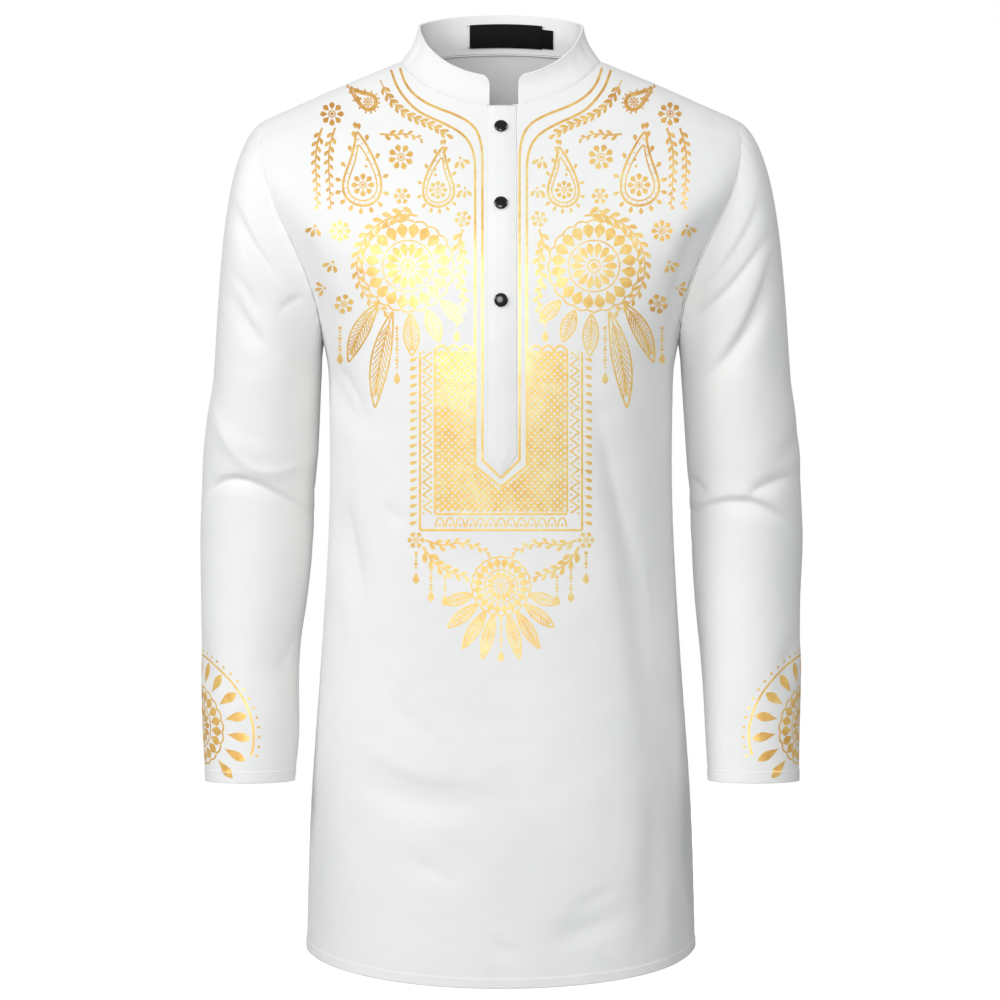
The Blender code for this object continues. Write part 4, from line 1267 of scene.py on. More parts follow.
@dataclass
class SeamEdges:
    """The turned-in edges that close each seam from behind, as soft round cords."""

    form: ShirtForm
    cloth: bpy.types.Material
    radius: float = 0.00075
    depth: float = 0.00070
    armhole_depth: float = 0.00060
    inside_depth: float = 0.00190
    sides: int = 8
    straight_seams: tuple[tuple[str, float, float, int], ...] = (
        ("side", 0.002, ARMHOLE_LOW_T, 150),
        ("shoulder", ARMHOLE_HIGH_T, 0.996, 40),
    )

    def cord(self, name: str, points: Array, normals: Array, closed: bool, depth: float) -> None:
        """Makes one cord at a depth under a line of surface points."""
        line = points - normals * depth
        if closed:
            along = np.roll(line, -1, axis=0) - np.roll(line, 1, axis=0)
        else:
            along = np.gradient(line, axis=0)
        along = unit(along)
        aside = unit(np.cross(along, normals))
        above = np.cross(aside, along)
        a = np.linspace(0, 2 * math.pi, self.sides, endpoint=False)[:, None]
        ring = above[:, None] * np.cos(a) + aside[:, None] * np.sin(a)
        number = np.arange(len(line) * self.sides).reshape(len(line), self.sides)
        after = np.roll(number, -1, axis=0) if closed else number[1:]
        before = number if closed else number[:-1]
        beside_both = (np.roll(before, -1, axis=1), np.roll(after, -1, axis=1))
        faces = np.stack([before, *beside_both, after], axis=-1).reshape(-1, 4)
        if not closed:
            cap = np.array([(0, 1, 2, 3), (0, 3, 4, 7), (4, 5, 6, 7)])
            faces = np.concatenate([faces, cap[:, ::-1], cap + number[-1, 0]])
        run = np.concatenate([[0], np.cumsum(np.linalg.norm(np.diff(line, axis=0), axis=1))])
        uv = np.stack(np.broadcast_arrays(a.T * self.radius, run[:, None]), axis=-1).reshape(-1, 2)
        place = (line[:, None] + ring * self.radius).reshape(-1, 3)
        dress_piece(make_piece(name, place, faces, self.cloth, uv[faces.reshape(-1)]), "white_cloth")

    def build(self) -> None:
        """Makes the cords of the neck, the armholes, the sides and the shoulders."""
        up = np.array(0.0)
        first = float(self.form.collar_angle(COLLAR_END_LEFT_X, up))
        last = 2 * math.pi + float(self.form.collar_angle(COLLAR_END_RIGHT_X, up))
        angle = np.linspace(first, last, 180)
        behind = np.cos(angle) < 0
        t = np.ones_like(angle)
        front, front_normal = self.form.trunk(angle, t, creases=True)
        back, back_normal = self.form.trunk(math.pi - angle, t, True, creases=True)
        neck = np.where(behind[:, None], back, front)
        neck_normal = np.where(behind[:, None], back_normal, front_normal)
        self.cord("seam_neck", neck, neck_normal, False, self.depth)
        self.cord("seam_neck_inside", back[behind], back_normal[behind], False, self.inside_depth)
        turn = np.linspace(0, 2 * math.pi, 160, endpoint=False)
        for side in Side:
            way = side.value
            hole, normal, off = self.form.armhole(turn, way)
            mirror = np.array([way, 1, 1])
            points = (hole + off * SLEEVE_GAP / 2) * mirror
            normal = (normal * mirror)[::way]
            self.cord("seam_armhole_" + side.word, points[::way], normal, True, self.armhole_depth)
            for part, low, high, count in self.straight_seams:
                level = np.linspace(low, high, count)
                angle = 0 * level + way * math.pi / 2 * 0.999
                points, front_normal = self.form.trunk(angle, level, creases=True)
                _, back_normal = self.form.trunk(angle, level, True, creases=True)
                normal = unit(front_normal + back_normal)
                self.cord("seam_" + part + "_" + side.word, points, normal, False, self.depth)


@dataclass
class Stitching:
    """Rows of straight stitches that Geometry Nodes repeats along lines."""

    pitch: float = 0.0027
    length: float = 0.0020
    radius: float = 0.00019
    seed: int = 11

    def __post_init__(self) -> None:
        """Builds the node tree with its named inputs."""
        tree = bpy.data.node_groups.new("stitch_rows", "GeometryNodeTree")
        for name, kind in (
            ("Rows", "NodeSocketGeometry"),
            ("Pitch", "NodeSocketFloat"),
            ("Stitch Length", "NodeSocketFloat"),
            ("Thread Radius", "NodeSocketFloat"),
            ("Seed", "NodeSocketInt"),
            ("Thread", "NodeSocketMaterial"),
        ):
            tree.interface.new_socket(name, in_out="INPUT", socket_type=kind)
        tree.interface.new_socket("Stitches", in_out="OUTPUT", socket_type="NodeSocketGeometry")
        given = tree.nodes.new("NodeGroupInput").outputs

        def node(kind: str, values: dict[str, Any], **settings: Any) -> bpy.types.bpy_prop_collection:
            """Adds a node, sets or links its inputs and gives its outputs."""
            made = tree.nodes.new(kind)
            for key, value in settings.items():
                setattr(made, key, value)
            for key, value in values.items():
                if isinstance(value, bpy.types.NodeSocket):
                    tree.links.new(value, made.inputs[key])
                else:
                    made.inputs[key].default_value = value
            return made.outputs

        line = node("GeometryNodeMeshToCurve", {"Mesh": given["Rows"]})["Curve"]
        spaced = {"Curve": line, "Length": given["Pitch"]}
        spots = node("GeometryNodeResampleCurve", spaced, mode="LENGTH")["Curve"]
        tangent = node("GeometryNodeInputTangent", {})["Tangent"]
        turned = node("FunctionNodeAlignRotationToVector", {"Vector": tangent}, axis="Z")["Rotation"]
        thread = node(
            "GeometryNodeMeshCylinder",
            {"Vertices": 6, "Radius": given["Thread Radius"], "Depth": given["Stitch Length"]},
        )["Mesh"]
        between = {"Min": (0.9, 0.9, 0.92), "Max": (1.1, 1.1, 1.08), "Seed": given["Seed"]}
        uneven = node("FunctionNodeRandomValue", between, data_type="FLOAT_VECTOR")["Value"]
        laid = node(
            "GeometryNodeInstanceOnPoints",
            {"Points": spots, "Instance": thread, "Rotation": turned, "Scale": uneven},
        )["Instances"]
        plain = node("GeometryNodeRealizeInstances", {"Geometry": laid})["Geometry"]
        finish = {"Geometry": plain, "Material": given["Thread"]}
        dyed = node("GeometryNodeSetMaterial", finish)["Geometry"]
        tree.links.new(dyed, tree.nodes.new("NodeGroupOutput").inputs["Stitches"])
        self.tree = tree

    def sew(self, name: str, lines: Sequence[Array], thread: bpy.types.Material, slot: str) -> None:
        """Makes the stitches of some lines as one plain piece."""
        points = np.concatenate(lines)
        starts = np.cumsum([0] + [len(line) for line in lines])
        edges = [(n, n + 1) for a, b in zip(starts[:-1], starts[1:]) for n in range(a, b - 1)]
        mesh = bpy.data.meshes.new(name + "_rows")
        mesh.from_pydata(points.tolist(), edges, [])
        piece = link_object(name, mesh)
        modifier = piece.modifiers.new("stitches", "NODES")
        modifier.node_group = self.tree
        items = self.tree.interface.items_tree
        named = {item.name: item.identifier for item in items if item.in_out == "INPUT"}
        for key, value in (
            ("Pitch", self.pitch),
            ("Stitch Length", self.length),
            ("Thread Radius", self.radius),
            ("Seed", self.seed),
            ("Thread", thread),
        ):
            modifier[named[key]] = value
        depsgraph = bpy.context.evaluated_depsgraph_get()
        sewn = bpy.data.meshes.new_from_object(piece.evaluated_get(depsgraph))
        piece.modifiers.remove(modifier)
        piece.data = sewn
        sewn.name = name
        dress_piece(piece, slot)


@dataclass
class Sewing:
    """Which lines of the shirt are stitched."""

    form: ShirtForm
    trunk: Trunk
    sleeves: dict[Side, Sleeve]
    collar: Collar
    placket: Placket
    hem: float = 0.0077
    cuff: float = 0.0095
    edge: float = 0.0021
    lift: float = 0.00004

    def build(self) -> None:
        """Sews the hem, the cuffs, the collar, the placket and the label."""
        white = SewingThread((0.86, 0.865, 0.85)).material("white_thread")
        black = SewingThread((0.004, 0.004, 0.005)).material("black_thread")
        stitching = Stitching()
        hems = [level_line(panel, self.hem, self.lift) for panel in (self.trunk.front, self.trunk.back)]
        stitching.sew("stitches_hem", hems, white, "white_cloth")
        for side, sleeve in self.sleeves.items():
            cuff = level_line(sleeve.panel, self.cuff, self.lift, from_last=True)
            ring = np.concatenate([cuff, cuff[:1]])
            stitching.sew("stitches_cuff_" + side.word, [ring], white, "white_cloth")
        band = self.collar.panel
        rows = [
            level_line(band, self.edge, self.lift, from_last=True)[19:-19],
            level_line(band, self.edge, self.lift)[14:-14],
        ]
        stitching.sew("stitches_collar", rows, white, "white_cloth")
        over = self.placket.over
        rows = [level_line(over, self.edge, self.lift, 1, last) for last in (False, True)]
        stitching.sew("stitches_placket", rows, white, "white_cloth")
        rows = []
        for x, up, way in ((LABEL_FROM_X, 0.20, -1), (LABEL_FROM_X, 0.72, -1), (LABEL_TO_X, 0.72, 1)):
            reach = x + way * np.linspace(-0.0012, 0.0018, 5)
            angle = math.pi - self.form.collar_angle(reach, up + 0 * reach)
            points, normal = self.form.collar(angle, up + 0 * reach)
            rows.append(points - normal * (COLLAR_WALL + LABEL_GAP + 0.0009))
        stitching.sew("stitches_label", rows, black, "black_woven")


@dataclass
class NeckLabels:
    """The blank neck label and the blank tab beside it, inside the back of the collar."""

    form: ShirtForm
    tape: bpy.types.Material
    wall: float = 0.0007
    belly: float = 0.0005

    def build(self) -> None:
        """Makes the label and the tab."""
        names = {"neck_label": "neck_label_tape", "size_tab": "side_tab_tape"}
        for node, (from_x, to_x, low, high, columns, tall) in LABEL_SPANS.items():
            x = np.linspace(from_x, to_x, columns)
            up = np.linspace(low, high, LABEL_ROWS)[:, None]
            angle = math.pi - self.form.collar_angle(x, up)
            outer, normal = self.form.collar(angle, up + 0 * angle)
            face = outer - normal * (COLLAR_WALL + LABEL_GAP + self.wall)
            panel = Cloth(face, 1)
            # The face that is seen points into the neck
            panel = Cloth(face, int(-np.sign(np.sum(panel.normals * normal))))
            across = np.linspace(-1, 1, columns)
            upright = np.linspace(-1, 1, LABEL_ROWS)[:, None]
            belly = self.belly * (1 - across**2) * (1 - upright**2)
            piece = panel.raised(belly).build(names[node], self.wall, self.tape)
            dress_piece(piece, "black_woven", node)


def flat_run(line: Array) -> Array:
    """The length run along a flat line at each of its points."""
    return np.concatenate([[0], np.cumsum(np.hypot(*np.diff(line, axis=0).T))])


def place_on(line: Array, run: Array, at: float) -> tuple[float, float, float]:
    """The place at a length along a flat line, and the line's heading there."""
    x, y = (float(np.interp(at, run, line[:, k])) for k in (0, 1))
    ahead = [np.interp(at + 1, run, line[:, k]) - np.interp(at - 1, run, line[:, k]) for k in (0, 1)]
    return x, y, math.atan2(ahead[1], ahead[0])


def flow(points: Flat, step: float = LINE_STEP) -> Array:
    """A smooth line through flat points, with a point at each step."""
    data = np.array(points, float)
    at = flat_run(data)
    line = smooth_table(np.column_stack([at, data]), ("at", "x", "y"))
    found = line(np.linspace(0, at[-1], max(3, round(at[-1] / step) + 1)))
    return np.stack([found["x"], found["y"]], axis=-1)


def straight(points: Flat, step: float = LEG_STEP) -> Array:
    """A line with corners, with a point at each step."""
    parts = []
    for (ax, ay), (bx, by) in zip(points[:-1], points[1:]):
        count = max(1, round(math.hypot(bx - ax, by - ay) / step))
        share = np.arange(count)[:, None] / count
        parts.append(np.array([ax, ay]) + share * np.array([bx - ax, by - ay]))
    return np.concatenate([*parts, [points[-1]]])


def resampled(line: Array, step: float = LINE_STEP) -> Array:
    """The line with a point at each step along it."""
    run = flat_run(line)
    at = np.linspace(0, run[-1], max(3, round(run[-1] / step) + 1))
    return np.stack([np.interp(at, run, line[:, 0]), np.interp(at, run, line[:, 1])], axis=-1)


def beside(line: Array, off: float | Array) -> Array:
    """The line moved sideways."""
    along = unit(np.gradient(line, axis=0))
    return line + np.stack([-along[:, 1], along[:, 0]], axis=-1) * np.reshape(off, (-1, 1))


class Drawing:
    """Flat foil shapes, each a patch of cells, to be laid on the cloth."""

    def __init__(self) -> None:
        """Starts an empty drawing."""
        self.patches: list[tuple[Array, Array | list[tuple[int, ...]]]] = []

    def grid(self, points: Array, closed: bool = False) -> None:
        """Adds a patch from rows of points; closed joins the last row to the first."""
        rows, lanes = points.shape[:2]
        number = np.arange(rows * lanes).reshape(rows, lanes)
        after = np.roll(number, -1, axis=0) if closed else number[1:]
        before = number if closed else number[:-1]
        cells = np.stack([before[:, :-1], before[:, 1:], after[:, 1:], after[:, :-1]], axis=-1)
        self.patches.append((points.reshape(-1, 2), cells.reshape(-1, 4)))

    def ribbon(self, line: Array, width: float | Array, closed: bool = False) -> None:
        """Adds a band of one or a changing width along a line."""
        half = np.broadcast_to(np.asarray(width, float) / 2, len(line))
        if closed:
            long = np.concatenate([line[-1:], line, line[:1]])
            along = (long[2:] - long[:-2]) / 2
        else:
            along = np.gradient(line, axis=0)
        along = unit(along)
        side = np.stack([-along[:, 1], along[:, 0]], axis=-1)
        lanes = np.linspace(-1, 1, max(2, math.ceil(half.max() * 2 / CELL_STEP) + 1))
        self.grid(line[:, None] + side[:, None] * (half[:, None] * lanes)[..., None], closed)

    def mitred(self, points: Flat, width: float) -> None:
        """Adds a band with sharp corners, each leg straight."""
        corners = np.array(points, float)
        way = np.diff(corners, axis=0)
        way /= np.linalg.norm(way, axis=1, keepdims=True)
        side = np.stack([-way[:, 1], way[:, 0]], axis=-1)
        edge = [side[0]]
        for a, b in zip(side[:-1], side[1:]):
            edge.append((a + b) / (1 + np.dot(a, b)))
        edge.append(side[-1])
        rows = []
        for i in range(len(way)):
            count = max(1, round(np.linalg.norm(corners[i + 1] - corners[i]) / LEG_STEP))
            for k in range(count + (i == len(way) - 1)):
                u = k / count
                middle = corners[i] * (1 - u) + corners[i + 1] * u
                off = edge[i] * (1 - u) + edge[i + 1] * u
                rows.append([middle - off * width / 2, middle + off * width / 2])
        self.grid(np.array(rows))

    def disc(self, x: float, y: float, radius: float) -> None:
        """Adds a round spot."""
        sides = 8 if radius < 2 else 14
        turn = np.arange(sides) * 2 * math.pi / sides
        ring = np.stack([np.cos(turn), np.sin(turn)], axis=-1)
        count = max(1, math.ceil(radius / CELL_STEP))
        radii = radius * np.arange(1, count + 1) / count
        points = np.concatenate([np.array([x, y]) + ring * r for r in radii])
        cells: list[tuple[int, ...]] = [tuple(range(sides))]
        for k in range(count - 1):
            for i in range(sides):
                j = (i + 1) % sides
                cells.append((k * sides + j, k * sides + i, (k + 1) * sides + i, (k + 1) * sides + j))
        self.patches.append((points, cells))

    def ring(self, x: float, y: float, radius: float, width: float) -> None:
        """Adds a round band."""
        turn = np.linspace(0, 2 * math.pi, max(14, round(radius * 2.6)), endpoint=False)
        round_line = np.stack([x + radius * np.cos(turn), y + radius * np.sin(turn)], axis=-1)
        self.ribbon(round_line, width, True)

    def leaf_line(self, x: float, y: float, way: float, length: float, bend: float) -> Array:
        """The middle line of a leaf that starts at (x, y) and runs at an angle, curving by bend."""
        count = max(6, round(length / LINE_STEP))
        turn = way + bend * (np.arange(count) / (count - 1))
        step = np.stack([np.cos(turn), np.sin(turn)], axis=-1) * length / (count - 1)
        return np.array([x, y]) + np.concatenate([[[0, 0]], np.cumsum(step[:-1], axis=0)])

    @staticmethod
    def leaf_width(count: int, width: float, fullest: float = 0.62) -> Array:
        """A leaf's width from its base to its tip, widest at a share of its length."""
        share = np.linspace(0, 1, count)
        return width * np.sin(math.pi * share ** (math.log(0.5) / math.log(fullest))) ** 0.85 + 0.14

    def leaf(
        self,
        x: float,
        y: float,
        way: float,
        length: float,
        width: float,
        bend: float = 0.0,
        fullest: float = 0.62,
    ) -> None:
        """Adds a filled leaf or petal."""
        line = self.leaf_line(x, y, way, length, bend)
        self.ribbon(line, self.leaf_width(len(line), width, fullest))

    def veined_leaf(
        self, x: float, y: float, way: float, length: float, width: float, bend: float = 0.0
    ) -> None:
        """Adds an outlined leaf with a midrib and slanting veins."""
        line = self.leaf_line(x, y, way, length, bend)
        half = self.leaf_width(len(line), width, 0.5) / 2
        left, right = beside(line, half), beside(line, -half)
        self.ribbon(left, 1.8)
        self.ribbon(right, 1.8)
        self.ribbon(line[: int(len(line) * 0.9)], 1.5)
        run = np.linspace(0, 1, len(line))
        for share in np.arange(0.14, 0.80, max(3.6 / length, 0.062)):
            for edge in (left, right):
                a = [np.interp(share, run, line[:, k]) for k in (0, 1)]
                b = [np.interp(share + 0.13, run, line[:, k] * 0.22 + edge[:, k] * 0.78) for k in (0, 1)]
                self.ribbon(np.array([a, np.mean([a, b], axis=0), b]), 1.3)

    def paisley(self, x: float, y: float, way: float, size: float, hand: int) -> None:
        """Adds a paisley: a round foot at (x, y) and a tip that curls over to one hand.

        Args:
            x: The round foot's middle, across.
            y: The round foot's middle, down.
            way: The way from the foot to the tip.
            size: The foot's radius.
            hand: Which way the tip curls, 1 or -1.
        """

        def outline(scale: float) -> Array:
            """The teardrop with its curled tip, a share of the full size."""
            turn = np.linspace(0, 2 * math.pi, 64, endpoint=False)
            tip = ((1 + np.cos(turn)) / 2) ** 2.6
            ahead = np.cos(turn) * 0.98 + tip * 1.35
            across = np.sin(turn) * (1 - 0.62 * tip) + hand * tip**1.6 * 0.95
            return np.stack([ahead, across], axis=-1) * size * scale

        along = np.array([math.cos(way), math.sin(way)])
        aside = np.array([-along[1], along[0]])

        def placed(flat: Array) -> Array:
            """The outline turned and moved to its place."""
            return np.array([x, y]) + flat[:, :1] * along + flat[:, 1:] * aside

        self.ribbon(placed(outline(1.0)), 2.3, True)
        self.ribbon(placed(outline(0.76)), 1.5, True)
        ring = placed(outline(0.88))
        for n in range(0, 64, 3):
            self.disc(*ring[n], 0.75)
        border = placed(outline(1.16))
        for n in range(2, 64, 4):
            out = border[n] - ring[n]
            self.leaf(*(ring[n] + out * 0.72), math.atan2(out[1], out[0]), size * 0.34, size * 0.20)
        self.rosette(x, y, size * 0.56, 8)
        for share in (0.9, 1.22):
            spot = np.array([x, y]) + along * size * share + aside * hand * size * 0.12 * share
            self.disc(*spot, 1.5)

    def rosette(
        self, x: float, y: float, radius: float, petals: int, turn: float = 0.0, full: float = 0.86
    ) -> None:
        """Adds a flower of petals round a ringed heart."""
        self.disc(x, y, radius * 0.15)
        self.ring(x, y, radius * 0.27, radius * 0.05 + 0.5)
        inner = radius * 0.36
        width = 2 * math.pi * radius * 0.68 / petals * full
        for i in range(petals):
            a = turn + i * 2 * math.pi / petals
            at = (x + inner * math.cos(a), y + inner * math.sin(a))
            self.leaf(*at, a, radius - inner, width, 0.0, 0.64)

    def dahlia(self, x: float, y: float, radius: float) -> None:
        """Adds a large full flower: two rows of broad petals, a beaded ring and an arched rim."""
        self.rosette(x, y, radius * 0.56, 14, 0.0, 0.98)
        self.ring(x, y, radius * 0.61, 1.5)
        petals = 20
        for i in range(petals):
            a = (i + 0.5) * 2 * math.pi / petals
            at = (x + radius * 0.66 * math.cos(a), y + radius * 0.66 * math.sin(a))
            self.leaf(*at, a, radius * 0.36, radius * 0.255, 0.0, 0.60)
        turn = np.linspace(0, 2 * math.pi, petals * 8, endpoint=False)
        rim = radius * (1.045 + 0.055 * np.abs(np.cos(turn * petals / 2)))
        self.ribbon(np.stack([x + rim * np.cos(turn), y + rim * np.sin(turn)], axis=-1), 1.7, True)

    def vine(self, line: Array, width: float, leaf: float, pitch: float) -> None:
        """Adds a tapering stem with leaves that alternate from side to side."""
        self.ribbon(line, np.interp(np.arange(len(line)), [0, len(line)], [width, 0.9]))
        run = flat_run(line)
        for n, at in enumerate(np.arange(pitch, run[-1] - pitch * 0.4, pitch)):
            x, y, way = place_on(line, run, at)
            side = (-1, 1)[n % 2]
            size = leaf * (0.55 + 0.45 * (1 - at / run[-1]))
            self.leaf(x, y, way + side * 0.85, size, size * 0.42, side * -0.7)

    def sprig(self, x: float, y: float, way: float, size: float) -> None:
        """Adds three small leaves fanned from a bead."""
        self.disc(x, y, size * 0.17)
        for turn in (-0.75, 0, 0.75):
            a = way + turn
            self.leaf(x + size * 0.3 * math.cos(a), y + size * 0.3 * math.sin(a), a, size, size * 0.46)

    def bead_drop(self, x: float, top: float, foot: float) -> None:
        """Adds a hanging row of beads over a leaf-shaped drop."""
        for n, y in enumerate(np.arange(top, foot - 13, 3.6)):
            self.disc(x, y, 1.25 if n % 3 else 1.9)
        self.leaf(x, foot - 12, math.pi / 2, 12, 6.4, 0.0, 0.64)

    def laurel(self, line: Array, leaf: float, pitch: float, bud: float) -> None:
        """Adds a thin stem with paired leaves, and a bud at its end."""
        self.ribbon(line, 1.2)
        run = flat_run(line)
        for at in np.arange(pitch, run[-1] - pitch / 2, pitch):
            x, y, way = place_on(line, run, at)
            for side in (-1, 1):
                self.leaf(x, y, way + side * 0.62, leaf, leaf * 0.36, side * -0.35)
        (x, y), (px, py) = line[-1], line[-2]
        self.leaf(x, y, math.atan2(y - py, x - px), bud * 2.2, bud, 0.0, 0.6)

    def add(self, other: Drawing, way: int = 1) -> None:
        """Adds another drawing, mirrored across the centre line where way is -1."""
        for points, cells in other.patches:
            self.patches.append((points * (way, 1), cells))

    def lay(
        self, name: str, place: Callable[[Array], tuple[Array, Array, Array]], foil: bpy.types.Material
    ) -> bpy.types.Object:
        """Makes the drawing as thin plates pressed on the cloth.

        Args:
            name: The piece's name.
            place: Gives points on the cloth, their normals and which were found, for flat points.
            foil: The finish.

        Returns:
            The piece.
        """
        flat = np.concatenate([points for points, _ in self.patches])
        on_cloth, normal, found = place(flat)
        sizes = [len(points) for points, _ in self.patches]
        starts = np.concatenate([[0], np.cumsum(sizes)])
        # Neighbouring patches that cross lie at different heights
        layer = np.repeat(np.arange(len(sizes)) % FOIL_LAYERS, sizes)
        top = on_cloth + normal * (FOIL_LIFT + FOIL_LAYER * layer)[:, None]
        low = on_cloth - normal * FOIL_SINK
        beneath = len(flat)
        faces: list[tuple[int, ...]] = []
        rims: list[tuple[int, ...]] = []
        for start, (_, cells) in zip(starts, self.patches):
            own = [tuple(int(v) + int(start) for v in cell) for cell in cells]
            own = [cell for cell in own if all(found[v] for v in cell)]
            if not own:
                continue
            first = np.array([cell[:3] for cell in own])
            facing = np.cross(top[first[:, 1]] - top[first[:, 0]], top[first[:, 2]] - top[first[:, 0]])
            if np.sum(facing * normal[first[:, 0]]) < 0:
                own = [cell[::-1] for cell in own]
            faces += own
            edges = {(cell[n], cell[(n + 1) % len(cell)]) for cell in own for n in range(len(cell))}
            rims += [(q, p, p + beneath, q + beneath) for p, q in sorted(edges) if (q, p) not in edges]
        faces += [tuple(v + beneath for v in cell[::-1]) for cell in faces] + rims
        points = np.concatenate([top, low])
        used = sorted({v for face in faces for v in face})
        fresh = {v: n for n, v in enumerate(used)}
        kept = [tuple(fresh[v] for v in face) for face in faces]
        return link_mesh(name, points[used], kept, foil, smooth=False)


@dataclass
class FoilPrint:
    """The gold foil on the front and the cuffs, in a layout of this pattern's own.

    The front is drawn in steps of PRINT_STEP on the neck's plane as the camera sees it, x from the
    centre line and y from the picture's top.
    """

    trunk: Trunk
    sleeves: dict[Side, Sleeve]
    foil: bpy.types.Material
    line: float = 2.5

    def on_front(self, flat: Array) -> tuple[Array, Array, Array]:
        """Finds the front panel behind flat points."""
        panel = self.trunk.front
        caster = panel.caster()
        cells, normals = panel.quads(), panel.normals.reshape(-1, 3)
        verts = panel.points.reshape(-1, 3)
        eye = Vector(Studio.camera_place)
        points, normal = np.zeros((len(flat), 3)), np.zeros((len(flat), 3))
        found = np.zeros(len(flat), bool)
        for n, (x, y) in enumerate(flat):
            aim = Vector((x * PRINT_STEP, 0.0, (PRINT_TOP - y) * PRINT_STEP)) - eye
            hit, _, index, _ = caster.ray_cast(eye, aim.normalized())
            if hit is None:
                continue
            corner = cells[index]
            weight = 1 / (np.linalg.norm(verts[corner] - np.array(hit), axis=1) + 1e-6)
            off = (normals[corner] * weight[:, None]).sum(axis=0)
            points[n], normal[n], found[n] = hit, off / np.linalg.norm(off), True
        return points, normal, found

    def on_cuff(self, side: Side) -> Callable[[Array], tuple[Array, Array, Array]]:
        """Gives the function that finds a cuff under flat points in millimetres."""

        def place(flat: Array) -> tuple[Array, Array, Array]:
            """The cuff's points, x round it from the outer line and y up from its edge."""
            across, up = flat[:, 0] / 1000, flat[:, 1] / 1000
            at = self.sleeves[side].cuff_place(across, up, 0.0)
            off = self.sleeves[side].cuff_place(across, up, 0.001) - at
            return at, unit(off), np.ones(len(flat), bool)

        return place

    def neck_lines(self) -> Drawing:
        """Two plain lines along the neckline and down both sides of the placket."""
        drawing = Drawing()
        outer = [(110, 70), (104, 86), (96, 98), (84, 110), (67, 119), (50, 127), (37, 136)]
        outer += [(29.2, 148), (26.3, 161)]
        inner = [(101, 68), (97, 80), (89, 92), (76, 102), (58, 110), (39, 118), (28, 126)]
        inner += [(21.4, 138), (19.0, 151)]
        for way in (-1, 1):
            for curve, x, corner, tip in ((outer, 25.8, 466, 487), (inner, 18.6, 460, 478)):
                top = flow([*curve, (x, curve[-1][1] + 14), (x, curve[-1][1] + 28)], 2.0)
                run = [(px * way, py) for px, py in top]
                drawing.mitred([*run, (x * way, corner), (0, tip)], self.line)
        return drawing

    def yoke(self) -> Drawing:
        """One shoulder: a dahlia in a leafy wreath, paisleys above it and long leaves below."""
        drawing = Drawing()
        drawing.dahlia(93, 266, 42)
        turn = np.linspace(math.pi * 0.56, math.pi * -0.38, 60)
        wreath = np.stack([93 + 51 * np.cos(turn), 266 - 51 * np.sin(turn)], axis=-1)
        drawing.vine(resampled(wreath), 2.2, 13, 5.0)
        drawing.paisley(138, 185, -1.85, 21, 1)
        drawing.paisley(63, 190, -1.30, 17, -1)
        drawing.paisley(133, 102, -0.28, 9, -1)
        branch = flow([(121, 80), (112, 97), (97, 112), (82, 120), (66, 127), (55, 134)])
        drawing.laurel(branch, 9.0, 7.4, 4)
        drawing.rosette(169, 114, 12, 8)
        for hang in (-4, 9):
            hung = [(x + hang, y) for x, y in ((170, 128), (175, 146), (176, 172), (174, 210))]
            drawing.vine(flow(hung), 2.0, 9, 4.6)
        drawing.rosette(100, 157, 13, 8, 0.3)
        drawing.rosette(99, 196, 8.5, 6)
        drawing.rosette(38, 219, 8.5, 6, 0.2)
        stem = flow([(38, 229), (42, 245), (38, 262), (41, 280), (37, 298), (40, 318)])
        drawing.vine(stem, 2.2, 11, 5.0)
        drawing.vine(flow([(121, 134), (107, 135), (94, 134), (78, 140)]), 2.0, 9, 4.6)
        drawing.rosette(161, 231, 11, 8)
        drawing.rosette(157, 304, 10, 6, 0.3)
        for x, y, way, size in (
            (186, 226, 1.3, 9),
            (168, 262, 1.1, 9),
            (41, 158, 1.9, 9),
            (36, 188, 1.5, 8),
            (99, 211, 1.57, 8),
            (176, 288, 0.2, 8),
        ):
            drawing.sprig(x, y, way, size)
        for way, length, width, bend in (
            (2.34, 30, 12, 0.0),
            (1.98, 34, 14, -0.1),
            (1.62, 42, 15, 0.0),
            (1.25, 98, 18, 0.28),
            (0.90, 66, 16, 0.42),
        ):
            at = (93 + 48 * math.cos(way), 266 + 48 * math.sin(way))
            drawing.veined_leaf(*at, way, length, width, bend)
        for x, top, foot in ((104, 328, 384), (161, 328, 364), (44, 322, 342)):
            drawing.bead_drop(x, top, foot)
        return drawing

    def chest(self) -> Drawing:
        """The trellis panel round the placket's foot, in a border of zigzag and arches."""
        drawing = Drawing()

        def inside(x: float, y: float) -> bool:
            """Whether a place is in the trellis."""
            if not (abs(x) < 65 and 351 < y < 512):
                return False
            if y < 467:
                return abs(x) > 26.5
            return abs(x) > 27.0 * (489 - y) / 22

